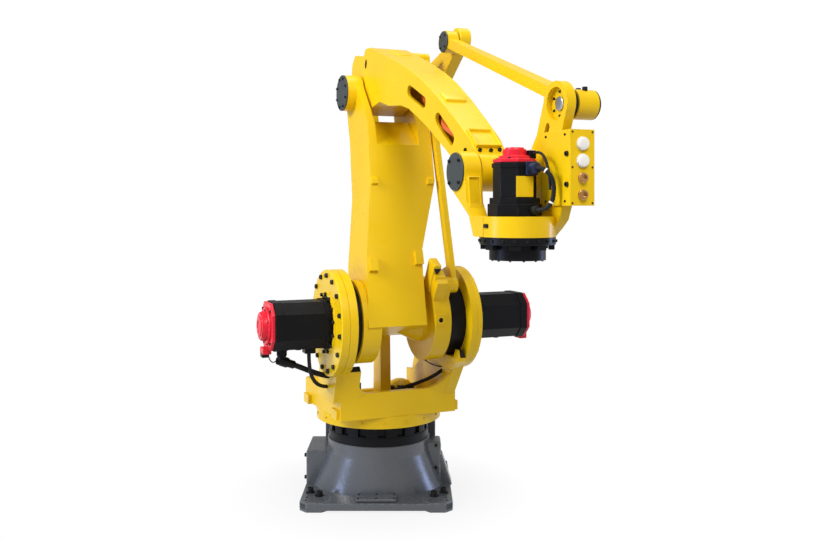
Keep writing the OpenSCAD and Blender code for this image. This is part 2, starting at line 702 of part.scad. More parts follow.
link_eye_r = 55;
link_eye_mid = (link_eye_r + pin_r) / 2;
module upper_link() color(yellow) in_turret() difference() {
    near_eye = elbow + upper_pivot;
    far_eye = wrist + upper_pivot;
    along = (far_eye - near_eye) / norm(far_eye - near_eye);
    union() {
        // The bar runs inward toward the wrist
        intersection() {
            slab(link_eye_y, link_out_y)
                web(near_eye + along * link_eye_mid, far_eye - along * link_eye_mid, link_half_h, link_half_h);
            linear_extrude(2 * near_eye[1]) polygon([[near_eye[0], link_in_y + over], [far_eye[0], link_eye_y + over],
                [far_eye[0], link_eye_end_y - over], [near_eye[0] + link_eye_r, link_out_y - over],
                [near_eye[0], link_out_y - over]]);
        }
        drum(near_eye, link_eye_r, link_in_y, link_out_y);
        drum(far_eye, link_eye_r, link_eye_y, link_eye_end_y);
    }
    drum(near_eye, pin_r + pin_fit, link_in_y - over, link_out_y + over);
    drum(far_eye, pin_r + open_fit, link_eye_y - over, link_eye_end_y + over);
}
module link_cap() color(slate) at_pivot(elbow + upper_pivot)
    drum([0, 0], link_eye_r - over, link_in_y - cap_t, link_in_y);
module link_seal() color(black) at_pivot(wrist + upper_pivot)
    slab(knuckle_out_y + face_gap, link_eye_y) difference() {
        circle(r = link_eye_r - 2 * over);
        circle(r = pin_r + open_fit);
    }
module link_end_cap() color(black) at_pivot(wrist + upper_pivot)
    drum([0, 0], link_eye_r - over, link_eye_end_y, link_eye_end_y + cap_t);

// Wrist

wrist_front = 439;
knuckle_r = 82;
recess_r = 60;
recess_t = 22;
// Outline points as [forward, up] from the wrist pivot, in shares of the wrist's reach
slot_arm_shares = [[0.597, 0.255], [0.647, 0.36]];
leg_foot_shares = [[-0.128, -0.128], [0.255, -0.383]];
leg_throat_shares = [[0.214, -0.273], [0.178, 0]];
cheek_foot_shares = [[-0.146, -0.109], [0.255, -0.383]];
cheek_front_shares = [[0.752, -0.483], [0.838, -0.415], [0.891, -0.3], [1, -0.25], [1, 0.228], [0.857, 0.278],
    [0.929, 0.451], [0.592, 0.592], [0.465, 0.296], [0.376, 0.191], [0.205, 0.128], [0, 0.18]];
leg_in_share = 0.342;
throat_in_share = 0.296;
cheek_in_share = 0.638;
slot_arm_half = 14;
housing_low = -housing_top - housing_h;
function wrist_points(shares) = [for (p = shares) wrist_front * p];
slot_arm = wrist_points(slot_arm_shares);
leg_points = concat(wrist_points(leg_foot_shares), [[wrist_front * leg_in_share, housing_low],
    [tool_reach, housing_low], [tool_reach, -housing_top], [wrist_front * throat_in_share, -housing_top]],
    wrist_points(leg_throat_shares));
arm_points = concat(wrist_points(cheek_foot_shares), [[wrist_front * leg_in_share, housing_low],
    [wrist_front * cheek_in_share, housing_low]], wrist_points(cheek_front_shares));
module wrist_pin() color(steel) at_pivot(wrist) drum([0, 0], wrist_pin_r, wrist_boss_y, knuckle_out_y - 3 * over);
module near_cheek() {
    disc_at([0, 0], wrist_r);
    polygon(leg_points);
}
module far_cheek() difference() {
    union() {
        disc_at([0, 0], wrist_r);
        disc_at(upper_pivot, knuckle_r);
        polygon(arm_points);
    }
    web(slot_arm[0], slot_arm[1], slot_arm_half, slot_arm_half);
    for (p = slot_arm) disc_at(p, slot_arm_half);
}
module wrist_casting() color(yellow) at_pivot(wrist) difference() {
    union() {
        slab(wrist_boss_y, -wrist_ear_in_y) near_cheek();
        slab(wrist_ear_in_y, knuckle_in_y) near_cheek();
        slab(knuckle_in_y, knuckle_out_y) far_cheek();
        translate([tool_reach, 0, housing_low]) cylinder(r = housing_r, h = housing_h);
        drum(upper_pivot, pin_r, knuckle_out_y - over, link_eye_end_y);
    }
    drum(upper_pivot, recess_r, knuckle_in_y - over, knuckle_in_y + recess_t);
    drum([0, 0], wrist_pin_r + pin_fit, wrist_boss_y - over, knuckle_out_y + over);
}
module wrist_cap() color(slate) at_pivot(wrist) drum([0, 0], wrist_r - 2 * over, wrist_boss_y - cap_t, wrist_boss_y);

tool_motor_h = 196;
tool_motor_y = -12;
tool_plate_t = 14;
adaptor_w = 186;
adaptor_h = 46;
module j4_motor() color(black) at_pivot(wrist) translate([tool_reach, tool_motor_y, -housing_top]) {
    linear_extrude(tool_motor_h) octagon(tool_motor_w, tool_chamfer_share);
    linear_extrude(adaptor_h) octagon(adaptor_w, tool_chamfer_share);
}
module j4_motor_cap() color(red) at_pivot(wrist)
    translate([tool_reach, tool_motor_y, tool_motor_h - housing_top]) {
        linear_extrude(tool_plate_t) octagon(tool_motor_w, tool_chamfer_share);
        cylinder(r = tool_motor_w * cap_dome_share, h = cap_plate_t + cap_dome_t);
    }
module j4_reducer() color(black) at_pivot(wrist)
    translate([tool_reach, 0, housing_low - ring_h]) cylinder(r = housing_r, h = ring_h);

// Sheet cover with the connectors, wrapped around the far cheek's arm
box_back_x = 262;
box_near_y = 85;
box_len = 191;
box_wide = 100;
box_h = 268;
box_low = -131;
sheet = 10;
module connector_box() color(yellow) at_pivot(wrist) translate([box_back_x, box_near_y, box_low]) difference() {
    cube([box_len, box_wide, box_h]);
    translate([-over, sheet, -over])
        cube([wrist_front - box_back_x + over, box_wide - 2 * sheet, box_h + 2 * over]);
}
socket_y = 135;
socket_z = [87, 27];
fitting_z = [-33, -93];
socket_r = 21;
fitting_r = 16;
socket_t = 14;
module connector_caps() color("#ece6dc") at_pivot(wrist) for (z = socket_z)
    translate([box_back_x + box_len, socket_y, z]) rotate([0, 90, 0]) cylinder(r = socket_r, h = socket_t);
module air_fittings() color("#b98a5a") at_pivot(wrist) for (z = fitting_z)
    translate([box_back_x + box_len, socket_y, z]) rotate([0, 90, 0]) cylinder(r = fitting_r, h = socket_t);

// Cable from the motor's upper plug out in a loop to its lower socket
j4_cable_r = 8;
plug_r = 17;
plug_len = 42;
plug_y = 15;
plug_z = 4;
low_plug_z = -147;
motor_front = tool_reach + tool_motor_w / 2;
adaptor_front = tool_reach + adaptor_w / 2;
plug_end = motor_front + plug_len;
// Handles of the loop as shares of the wrist's reach
loop_steps = 8;
loop_turn_shares = [[0.893, 0.132, -0.068], [0.888, 0.132, -0.171]];
loop_low_shares = [[0.886, 0.13, -0.205], [0.875, 0.123, -0.342]];
plug_turn_y = 2 * plug_y;
j4_cable_route = concat(
    bend([plug_end, plug_y, plug_z], [plug_end + plug_len, plug_turn_y, plug_z], wrist_front * loop_turn_shares[0],
        wrist_front * loop_turn_shares[1], loop_steps),
    bend(wrist_front * loop_low_shares[0], wrist_front * loop_low_shares[1],
        [adaptor_front + plug_len, plug_y, low_plug_z], [adaptor_front + face_gap, plug_y, low_plug_z], loop_steps));
module j4_cable() color(black) at_pivot(wrist) {
    cable(j4_cable_route, j4_cable_r);
    translate([motor_front, plug_y, plug_z]) rotate([0, 90, 0]) cylinder(r = plug_r, h = plug_len);
}

hole_deep = 22;
pilot_deep = 8;
module tool_flange() color(black) at_pivot(wrist)
    translate([tool_reach, 0, housing_low - ring_h - face_gap - flange_h]) difference() {
        cylinder(r = flange_r, h = flange_h);
        for (turn = [0:60:300]) rotate([0, 0, turn]) translate([tool_bolt_r, 0, -over])
            cylinder(r = tool_hole_r, h = hole_deep + over);
        translate([0, 0, -over]) cylinder(r = pilot_r, h = pilot_deep + over);
    }

base_casting();
base_ring();
base_cover();
rear_plate();
turret_casting();
slew_gear_cover();
j2_flange();
j3_flange();
j2_reducer();
j3_reducer();
j2_motor();
j2_motor_cap();
j3_motor();
j3_motor_cap();
j2_stop();
j3_stop();
turret_cable();
j2_conduit();
j2_arm_casting();
elbow_shaft();
elbow_cap();
boom_casting();
boom_hose();
j3_crank();
j3_rod();
lower_link();
rocker();
rocker_pin();
upper_link();
link_cap();
link_seal();
link_end_cap();
wrist_pin();
wrist_casting();
wrist_cap();
j4_motor();
j4_motor_cap();
j4_reducer();
connector_box();
connector_caps();
air_fittings();
j4_cable();
tool_flange();
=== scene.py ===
# %% [markdown]
# # Palletizing robot arm
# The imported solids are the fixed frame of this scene. Each cast body is shown by a copy of its
# solid with softened edges, because a casting never has knife edges. The screws, caps,
# connectors and cables that the solids leave out are modelled around them in the same metres.

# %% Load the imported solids
import json
from math import cos, pi, radians, sin

import bmesh
import bpy
from mathutils import Matrix, Vector


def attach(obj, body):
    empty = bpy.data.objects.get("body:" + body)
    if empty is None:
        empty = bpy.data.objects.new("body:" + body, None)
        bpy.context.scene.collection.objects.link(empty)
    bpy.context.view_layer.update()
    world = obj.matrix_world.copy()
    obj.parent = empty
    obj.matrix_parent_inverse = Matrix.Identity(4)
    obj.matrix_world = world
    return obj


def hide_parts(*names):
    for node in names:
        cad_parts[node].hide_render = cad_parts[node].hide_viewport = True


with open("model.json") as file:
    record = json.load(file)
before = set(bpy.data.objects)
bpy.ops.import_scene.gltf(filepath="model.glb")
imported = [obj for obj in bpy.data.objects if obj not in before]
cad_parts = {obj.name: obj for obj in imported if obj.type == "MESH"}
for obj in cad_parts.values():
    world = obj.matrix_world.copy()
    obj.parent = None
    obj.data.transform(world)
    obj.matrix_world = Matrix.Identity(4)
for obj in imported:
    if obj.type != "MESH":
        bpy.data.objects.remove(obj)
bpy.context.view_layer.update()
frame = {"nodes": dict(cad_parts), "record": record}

# %% [markdown]
# ## Places
# Every moving body hangs on a few pivots. One matrix for each of them lets a piece be drawn
# in its own plain axes: x forward, y toward the crank side and z up, in metres.

# %% Frames of the pivots
YAW, LEAN, DROOP = radians(22), radians(16.5), radians(19.5)
ARM_LENGTH, BOOM_LENGTH = 1.188, 1.352
SHOULDER_REACH, SHOULDER_HEIGHT = 0.333, 0.931


def shift(x, y, z):
    return Matrix.Translation((x, y, z))


def tilt(angle):
    return Matrix.Rotation(angle, 4, "Y")


FLOOR = Matrix.Identity(4)
TURRET = Matrix.Rotation(YAW - pi / 2, 4, "Z")
SHOULDER = TURRET @ shift(SHOULDER_REACH, 0, SHOULDER_HEIGHT)
ARM = SHOULDER @ tilt(-LEAN)
ELBOW = ARM @ shift(0, 0, ARM_LENGTH) @ tilt(LEAN)
BOOM = ELBOW @ tilt(DROOP)
WRIST = BOOM @ shift(BOOM_LENGTH, 0, 0) @ tilt(-DROOP)
print("wrist pivot:", [round(v, 3) for v in WRIST.translation])

# %% [markdown]
# ## Camera
# The photograph was taken level, a little above waist height, so its uprights don't converge.
# A level camera with a small downward shift gives the same picture, where a tilted one would
# make the uprights lean.

# %% Camera at the photograph's place
PICTURE_WIDTH, FOCAL_PIXELS, DROP_PIXELS, SENSOR = 822, 880, 65, 36
EYE = (0.1700, -4.630, 1.4903)
view = bpy.data.cameras.new("view")
view.sensor_width = SENSOR
view.lens = FOCAL_PIXELS / PICTURE_WIDTH * SENSOR
view.shift_y = -DROP_PIXELS / PICTURE_WIDTH
camera = bpy.data.objects.new("view", view)
camera.location = EYE
camera.rotation_euler = (pi / 2, 0, 0)
bpy.context.collection.objects.link(camera)
bpy.context.scene.camera = camera
bpy.context.scene.view_settings.view_transform = "Standard"
print("lens:", round(view.lens, 2), "mm")

# %% [markdown]
# ## Finishes
# Sprayed enamel is never one flat colour: it varies a little over a casting, has a fine
# orange-peel surface and wears paler on edges. Those three effects could be built again in
# every material. As node groups they are built once, and each finish gives its own values.


# %% Tone over the surface
def effect(name, inputs, outputs):
    tree = bpy.data.node_groups.new(name, "ShaderNodeTree")
    for label, kind, value in inputs:
        socket = tree.interface.new_socket(label, in_out="INPUT", socket_type=kind)
        socket.default_value = value
    for label, kind in outputs:
        tree.interface.new_socket(label, in_out="OUTPUT", socket_type=kind)
    return tree, tree.nodes.new("NodeGroupInput"), tree.nodes.new("NodeGroupOutput")


def add(tree, kind, links=(), **values):
    node = tree.nodes.new("ShaderNode" + kind)
    for key, value in values.items():
        if hasattr(node, key):
            setattr(node, key, value)
        else:
            node.inputs[key.replace("_", " ")].default_value = value
    for source, target in links:
        tree.links.new(source, node.inputs[target])
    return node


COLOUR, VALUE = "NodeSocketColor", "NodeSocketFloat"
tone, tone_in, tone_out = effect(
    "tone over the surface",
    [("Colour", COLOUR, (1, 1, 1, 1)), ("Deeper", COLOUR, (0, 0, 0, 1)), ("Scale", VALUE, 3.0)],
    [("Colour", COLOUR)],
)
spot = add(tone, "TexCoord")
cloud = add(tone, "TexNoise", [(spot.outputs["Object"], "Vector")], Detail=5.0)
tone.links.new(tone_in.outputs["Scale"], cloud.inputs["Scale"])
spread = add(tone, "MapRange", [(cloud.outputs["Fac"], "Value")], From_Min=0.35, From_Max=0.7)
blend = add(tone, "Mix", [(spread.outputs["Result"], "Factor")], data_type="RGBA")
tone.links.new(tone_in.outputs["Colour"], blend.inputs["A"])
tone.links.new(tone_in.outputs["Deeper"], blend.inputs["B"])
tone.links.new(blend.outputs["Result"], tone_out.inputs["Colour"])
print("made:", tone.name)

# %% Skin of the surface
skin, skin_in, skin_out = effect(
    "skin of the surface",
    [("Grain", VALUE, 600.0), ("Smoothest", VALUE, 0.3), ("Roughest", VALUE, 0.5)],
    [("Roughness", VALUE), ("Height", VALUE)],
)
spot = add(skin, "TexCoord")
peel = add(skin, "TexNoise", [(spot.outputs["Object"], "Vector")], Detail=2.0)
skin.links.new(skin_in.outputs["Grain"], peel.inputs["Scale"])
smear = add(skin, "TexNoise", [(spot.outputs["Object"], "Vector")], Scale=9.0, Detail=6.0)
gloss = add(skin, "MapRange", [(smear.outputs["Fac"], "Value")], From_Min=0.3, From_Max=0.7)
skin.links.new(skin_in.outputs["Smoothest"], gloss.inputs["To Min"])
skin.links.new(skin_in.outputs["Roughest"], gloss.inputs["To Max"])
skin.links.new(gloss.outputs["Result"], skin_out.inputs["Roughness"])
skin.links.new(peel.outputs["Fac"], skin_out.inputs["Height"])
print("made:", skin.name)

# %% Rubbed edges
rub, rub_in, rub_out = effect("rubbed edges", [("Amount", VALUE, 0.5)], [("Mask", VALUE)])
mark = add(rub, "Attribute", attribute_name="rub")
spot = add(rub, "TexCoord")
scuff = add(rub, "TexNoise", [(spot.outputs["Object"], "Vector")], Scale=45.0, Detail=6.0)
worn = add(rub, "MapRange", [(scuff.outputs["Fac"], "Value")], From_Min=0.4, From_Max=0.7)
edge = add(rub, "Math", [(mark.outputs["Fac"], 0), (worn.outputs["Result"], 1)], operation="MULTIPLY")
part = add(rub, "Math", [(edge.outputs[0], 0), (rub_in.outputs["Amount"], 1)], operation="MULTIPLY")
rub.links.new(part.outputs[0], rub_out.inputs["Mask"])
print("made:", rub.name)

# %% [markdown]
# A finish is one material: the tone feeds the base colour, the rubbed edges mix a paler tone
# into it, and the skin gives the roughness and a very low bump.

# %% One finish from its values
PATCH, WEAR, PEEL, PEEL_DEPTH = 3.0, 0.4, 0.12, 0.0006


def finish(name, colour, deeper, edge_tone, smooth, rough, grain=600.0, metal=0.0, gleam=0.3):
    made = bpy.data.materials.new(name)
    made.use_nodes = True
    tree = made.node_tree
    shader = tree.nodes["Principled BSDF"]
    shader.inputs["Metallic"].default_value = metal
    shader.inputs["Specular IOR Level"].default_value = gleam
    tones = add(tree, "Group", node_tree=tone)
    tones.inputs["Colour"].default_value = (*colour, 1)
    tones.inputs["Deeper"].default_value = (*deeper, 1)
    tones.inputs["Scale"].default_value = PATCH
    skins = add(tree, "Group", node_tree=skin)
    skins.inputs["Grain"].default_value = grain
    skins.inputs["Smoothest"].default_value = smooth
    skins.inputs["Roughest"].default_value = rough
    rubs = add(tree, "Group", node_tree=rub)
    rubs.inputs["Amount"].default_value = WEAR
    worn = add(tree, "Mix", [(rubs.outputs["Mask"], "Factor")], data_type="RGBA")
    worn.inputs["B"].default_value = (*edge_tone, 1)
    tree.links.new(tones.outputs["Colour"], worn.inputs["A"])
    height = add(tree, "Bump", [(skins.outputs["Height"], "Height")], Strength=PEEL, Distance=PEEL_DEPTH)
    tree.links.new(worn.outputs["Result"], shader.inputs["Base Color"])
    tree.links.new(skins.outputs["Roughness"], shader.inputs["Roughness"])
    tree.links.new(height.outputs["Normal"], shader.inputs["Normal"])
    return made


# %% Finishes of this machine
YELLOW = finish("yellow enamel", (0.765, 0.492, 0.003), (0.73, 0.455, 0.002), (0.83, 0.58, 0.03),
                0.26, 0.38, gleam=0.28)
GREY = finish("grey enamel", (0.068, 0.075, 0.083), (0.056, 0.062, 0.069), (0.20, 0.22, 0.24),
              0.20, 0.32, gleam=0.7)
BLACK = finish("black enamel", (0.005, 0.005, 0.006), (0.004, 0.004, 0.005), (0.03, 0.03, 0.033),
               0.30, 0.45, gleam=0.12)
CASE = finish("black motor case", (0.005, 0.005, 0.006), (0.003, 0.003, 0.004), (0.035, 0.035, 0.038),
              0.34, 0.48, grain=350, gleam=0.12)
RED = finish("red moulding", (0.66, 0.012, 0.030), (0.60, 0.008, 0.022), (0.74, 0.05, 0.08), 0.28, 0.4)
SLATE = finish("slate cap", (0.042, 0.050, 0.049), (0.034, 0.041, 0.041), (0.12, 0.14, 0.14), 0.40, 0.55)
STEEL = finish("ground steel", (0.50, 0.52, 0.55), (0.42, 0.44, 0.47), (0.70, 0.72, 0.74),
               0.25, 0.42, grain=900, metal=1.0)
BOLT = finish("blackened bolt", (0.010, 0.009, 0.009), (0.006, 0.006, 0.006), (0.07, 0.07, 0.075),
              0.32, 0.5, gleam=0.25)
RUBBER = finish("black rubber", (0.008, 0.008, 0.008), (0.013, 0.013, 0.013), (0.04, 0.04, 0.04),
                0.50, 0.70, grain=900, gleam=0.2)
ORANGE = finish("orange hose", (0.66, 0.12, 0.018), (0.55, 0.09, 0.012), (0.75, 0.2, 0.06),
                0.35, 0.5, grain=250)
WHITE = finish("white plastic", (0.80, 0.77, 0.72), (0.72, 0.69, 0.62), (0.88, 0.86, 0.82), 0.35, 0.5)
BRASS = finish("brass fitting", (0.55, 0.33, 0.14), (0.44, 0.25, 0.10), (0.75, 0.52, 0.28),
               0.24, 0.42, grain=900, metal=1.0)
BLUE = finish("dark blue plug", (0.012, 0.020, 0.055), (0.008, 0.014, 0.042), (0.08, 0.10, 0.18), 0.3, 0.45)
print("finishes:", len(bpy.data.materials))

# %% [markdown]
# ## Castings
# A casting's edges carry a radius of several millimetres that catches the light. Redrawing
# each casting would repeat the solids, so a copy of each solid is merged, its flat triangles
# are joined into faces again, and its sharp edges are bevelled. The bevel's faces are marked,
# so that the paint can wear there.

# %% One piece from a mesh
SHARP = radians(28)


def ease(bm, width, steps=3):
    layer = bm.faces.layers.float.get("rub") or bm.faces.layers.float.new("rub")
    sharp = [e for e in bm.edges if e.is_manifold and e.calc_face_angle(0) > SHARP]
    made = bmesh.ops.bevel(bm, geom=sharp, offset=width, offset_type="OFFSET", segments=steps, profile=0.5,
                           affect="EDGES", clamp_overlap=True, material=-1)
    for face in made["faces"]:
        face[layer] = 1.0


def show(name, bm, body, coat, replaced=(), place=FLOOR, crease=42):
    bm.transform(place)
    mesh = bpy.data.meshes.new(name)
    bm.to_mesh(mesh)
    bm.free()
    mesh.materials.append(coat)
    mesh.shade_smooth()
    mesh.set_sharp_from_angle(angle=radians(crease))
    piece = bpy.data.objects.new(name, mesh)
    bpy.context.collection.objects.link(piece)
    flat = piece.modifiers.new("flat faces", "WEIGHTED_NORMAL")
    flat.keep_sharp = True
    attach(piece, body)
    if replaced:
        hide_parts(*replaced)
    print(name, len(mesh.polygons), "faces")
    return piece


# %% Softened copies of the solids
NODE_BODY = {n: b for b, ns in frame["record"]["behaviour"]["bodies"].items() for n in ns}
MERGE, FLAT = 0.00002, radians(0.8)
SOFT = {
    "base_cover": (0.002, GREY), "rear_plate": (0.004, GREY),
    "turret_casting": (0.012, YELLOW), "j2_flange": (0.004, YELLOW), "j3_flange": (0.004, YELLOW),
    "j2_arm_casting": (0.013, YELLOW), "boom_casting": (0.011, YELLOW),
    "j3_crank": (0.005, YELLOW), "j3_rod": (0.003, YELLOW), "lower_link": (0.003, YELLOW),
    "rocker": (0.005, YELLOW), "upper_link": (0.004, YELLOW),
    "wrist_casting": (0.005, YELLOW), "connector_box": (0.001, YELLOW),
    "j2_reducer": (0.003, BLACK), "j3_reducer": (0.003, BLACK),
    "j2_motor": (0.003, CASE), "j3_motor": (0.003, CASE), "j4_motor": (0.003, CASE),
    "j2_motor_cap": (0.004, RED), "j3_motor_cap": (0.004, RED), "j4_motor_cap": (0.003, RED),
    "elbow_cap": (0.002, SLATE), "wrist_cap": (0.002, SLATE), "link_cap": (0.002, SLATE),
    "elbow_shaft": (0.002, STEEL), "rocker_pin": (0.002, STEEL), "wrist_pin": (0.002, STEEL),
    "j2_stop": (0.004, RUBBER), "j3_stop": (0.004, RUBBER), "link_seal": (0.003, RUBBER),
    "j4_reducer": (0.002, BLACK), "tool_flange": (0.002, BLACK),
}
for node, (width, coat) in SOFT.items():
    bm = bmesh.new()
    bm.from_mesh(frame["nodes"][node].data)
    bmesh.ops.remove_doubles(bm, verts=bm.verts, dist=MERGE)
    bmesh.ops.dissolve_limit(bm, angle_limit=FLAT, verts=bm.verts, edges=bm.edges)
    ease(bm, width)
    show(node + "_cast", bm, NODE_BODY[node], coat, [node])

# %% [markdown]
# ## Small parts
# Screws, plugs and covers are many and alike. One object each would crowd the scene, so each
# kind is a short function that adds one of them to a mesh shared by its body and finish.

# %% Directions and the shared meshes
DRIVE_SIDE, CRANK_SIDE = Matrix.Rotation(pi / 2, 4, "X"), Matrix.Rotation(-pi / 2, 4, "X")
AHEAD, BACK = tilt(pi / 2), tilt(-pi / 2)
DOWN = Matrix.Rotation(pi, 4, "X")
BATCH = {}
BATCH_CREASE = 35


def gather(body, coat, part, place):
    # adds one small part to the mesh of its body and finish
    part.transform(place)
    held = bpy.data.meshes.new("held")
    part.to_mesh(held)
    part.free()
    BATCH.setdefault((body, coat), bmesh.new()).from_mesh(held)
    bpy.data.meshes.remove(held)


def show_as(name, body, coat, replaced):
    # one shared mesh, shown in place of a solid
    return show(name, BATCH.pop((body, coat)), body, coat, replaced, crease=BATCH_CREASE)


def show_batch(step):
    # every shared mesh that is left, each named for its step, body and finish
    for (body, coat), bm in BATCH.items():
        show("_".join([step, body, coat.name.replace(" ", "_")]), bm, body, coat, crease=BATCH_CREASE)
    BATCH.clear()


# %% [markdown]
# A socket screw is a cylinder whose top face is inset three times: up to a bevelled rim, flat
# to the socket's edge and down into the socket. A block is a cube with cut corners, if asked,
# a sunk top, if asked, and eased edges.

# %% Screws and blocks
def cylinder(bm, r, h, foot, segments):
    return bmesh.ops.create_cone(bm, cap_ends=True, segments=segments, radius1=r, radius2=r, depth=h,
                                 matrix=shift(0, 0, foot + h / 2))["verts"]


def screw(body, place, r, h, coat=BOLT, washer=False):
    part = bmesh.new()
    foot = 0.2 * h if washer else 0
    if washer:
        cylinder(part, 1.4 * r, foot, 0, 24)
    head = cylinder(part, r, h, foot, 18)
    top = max({f for v in head for f in v.link_faces}, key=lambda f: f.calc_center_median().z)
    for thick, deep in ((0.14 * r, 0.12 * r), (0.34 * r, 0.0), (0.02 * r, -0.6 * h)):
        bmesh.ops.inset_individual(part, faces=[top], thickness=thick, depth=deep)
    gather(body, coat, part, place)


def block(body, coat, place, size, soft=0.002, chamfer=0.0, rim=0.0, sunk=0.0):
    part = bmesh.new()
    bmesh.ops.create_cube(part, size=1, matrix=Matrix.Diagonal((*size, 1)))
    if chamfer:
        posts = [e for e in part.edges if abs(e.verts[0].co.z - e.verts[1].co.z) > size[2] / 2]
        bmesh.ops.bevel(part, geom=posts, offset=chamfer, segments=1, profile=0.5, affect="EDGES",
                        material=-1)
    if sunk:
        top = max(part.faces, key=lambda f: f.calc_center_median().z)
        bmesh.ops.inset_individual(part, faces=[top], thickness=rim, depth=0.0)
        bmesh.ops.inset_individual(part, faces=[top], thickness=0.4 * rim, depth=-sunk)
    ease(part, soft, 2)
    gather(body, coat, part, place)


# %% [markdown]
# ## Base
# The base is an iron casting: a square foot with cut corners, a skirt that flares from a round
# collar into an oval, a wiring box and a rib. The flare is lofted ring by ring, because a
# hull would leave it straight.

# %% Foot and its corner pads
FOOT, FOOT_THICK, FOOT_MIDDLE, FOOT_CUT = 0.75, 0.036, 0.027, 0.038
PAD, PAD_THICK, PAD_AT, PAD_CUT = 0.148, 0.048, 0.300, 0.036
FOOT_EDGE = 0.005
CORNERS = ((-1, -1), (-1, 1), (1, -1), (1, 1))
block("base", GREY, shift(0, 0, FOOT_MIDDLE), (FOOT, FOOT, FOOT_THICK), FOOT_EDGE, chamfer=FOOT_CUT)
for side, end in CORNERS:
    at = shift(side * PAD_AT, end * PAD_AT, PAD_THICK / 2)
    block("base", GREY, at, (PAD, PAD, PAD_THICK), FOOT_EDGE, chamfer=PAD_CUT)
print("foot width", FOOT, "m")


# %% Skirt
def ring_at(bm, z, wide, deep, count=96):
    oval = shift(0, 0, z) @ Matrix.Diagonal((wide, deep, 1, 1))
    made = bmesh.ops.create_circle(bm, cap_ends=False, segments=count, radius=1, matrix=oval)["verts"]
    return list({e for v in made for e in v.link_edges})


COLLAR, COLLAR_TOP, COLLAR_EDGE = 0.266, 0.286, 0.003
FLARE_TOP, FLARE_STEP, FLARE_STEPS, WIDER, DEEPER, CURL = 0.232, 0.0164, 12, 0.31, 0.04, 0.16
skirt = bmesh.new()
rings = [
    ring_at(skirt, COLLAR_TOP, COLLAR - COLLAR_EDGE, COLLAR - COLLAR_EDGE),
    ring_at(skirt, COLLAR_TOP - COLLAR_EDGE, COLLAR, COLLAR),
]
for k in range(FLARE_STEPS + 1):
    t = k / FLARE_STEPS
    flare = (1 - CURL) * t + CURL * t ** 5
    wide, deep = COLLAR * (1 + WIDER * flare), COLLAR * (1 + DEEPER * flare)
    rings.append(ring_at(skirt, FLARE_TOP - FLARE_STEP * k, wide, deep))
for upper, lower in zip(rings, rings[1:]):
    bmesh.ops.bridge_loops(skirt, edges=upper + lower)
for end in (rings[0], rings[-1]):
    bmesh.ops.contextual_create(skirt, geom=end)
bmesh.ops.recalc_face_normals(skirt, faces=skirt.faces)
print("skirt", len(skirt.faces), "faces")
gather("base", GREY, skirt, FLOOR)

# %% Wiring box and rib
BOX_AT, BOX = (-0.3110, 0.086, 0.1285), (0.126, 0.292, 0.173)
RIB_AT, RIB = (0.288, 0.0, 0.150), (0.076, 0.13, 0.225)
TOE_AT, TOE, TOE_LEAN = (0.335, 0.0, 0.105), (0.05, 0.11, 0.165), radians(-18)
block("base", GREY, shift(*BOX_AT), BOX, soft=0.007)
block("base", GREY, shift(*RIB_AT), RIB, soft=0.012)
block("base", GREY, shift(*TOE_AT) @ tilt(TOE_LEAN), TOE, soft=0.008)
show_as("base_body", "base", GREY, ["base_casting"])

# %% [markdown]
# The slewing bearing is a black ring: a plain band below, and above it a row of blocks with
# windows between them. Separate blocks would need joining, so three faces in every six of a
# plain ring are inset and pushed inward.

# %% Bearing ring
STEPS, PITCH, WINDOW = 96, 6, 3
BAND, BAND_FOOT, BAND_TALL = 0.260, 0.287, 0.040
ROW, ROW_TALL = 0.257, 0.064
WINDOW_RIM, WINDOW_WALL, WINDOW_DEPTH = 0.006, 0.001, 0.014


def step_of(face):
    turn = face.calc_center_median().to_2d().angle_signed(Vector((1, 0)), 0)
    return int(turn % (2 * pi) * STEPS / (2 * pi))


bm = bmesh.new()
cylinder(bm, BAND, BAND_TALL, BAND_FOOT, STEPS)
row = cylinder(bm, ROW, ROW_TALL, BAND_FOOT + BAND_TALL, STEPS)
sides = [f for f in {f for v in row for f in v.link_faces} if len(f.verts) == 4]
for first in range(0, STEPS, PITCH):
    window = [f for f in sides if step_of(f) in range(first, first + WINDOW)]
    bmesh.ops.inset_region(bm, faces=window, thickness=WINDOW_RIM, depth=0.0)
    bmesh.ops.inset_region(bm, faces=window, thickness=WINDOW_WALL, depth=-WINDOW_DEPTH)
show("base_segments", bm, "base", BLACK, ["base_ring"], crease=20)

# %% [markdown]
# Anchor screws on washers hold the foot to the floor, with jacking holes beside them. Smaller
# screws hold the front cover, the wiring box, the rib and the rear plate. A jacking hole could
# be cut into its pad, but instead a flat dark disc is painted on as the hole's shade, which leaves the pad's
# mesh whole.

# %% Screws of the base
# a screw's size is its head's radius and height
ANCHORS, ANCHOR = ((0.335, 0.210), (0.285, 0.265)), (0.0165, 0.018)
JACKS, JACK_SHADE_DISC = ((0.344, 0.288), (0.345, 0.330), (0.263, 0.327)), (0.006, 0.001)
FRONT_COVER_TOP, COVER_SCREW = 0.060, (0.0045, 0.004)
BOX_SIDE, RIB_SIDE, REAR_PLATE_SIDE = -0.375, -0.065, 0.299
BOX_KNOB, PLATE_SCREW = (0.010, 0.010), (0.008, 0.008)
for x, y in ANCHORS:
    for side, end in CORNERS:
        screw("base", shift(side * x, end * y, PAD_THICK), *ANCHOR, washer=True)
for x, y in JACKS:
    # flat dark discs on the pads: painted shade standing for the jacking holes
    for side, end in CORNERS:
        screw("base", shift(side * x, end * y, PAD_THICK - JACK_SHADE_DISC[1] / 2), *JACK_SHADE_DISC)
for x in (-0.088, 0.0, 0.088):
    for y in (-0.346, -0.284):
        screw("base", shift(x, y, FRONT_COVER_TOP), *COVER_SCREW)
for z in (0.07, 0.185):
    screw("base", shift(BOX_SIDE, -0.03, z) @ BACK, *BOX_KNOB)
    screw("base", shift(0.3, RIB_SIDE, z + 0.06) @ DRIVE_SIDE, *PLATE_SCREW)
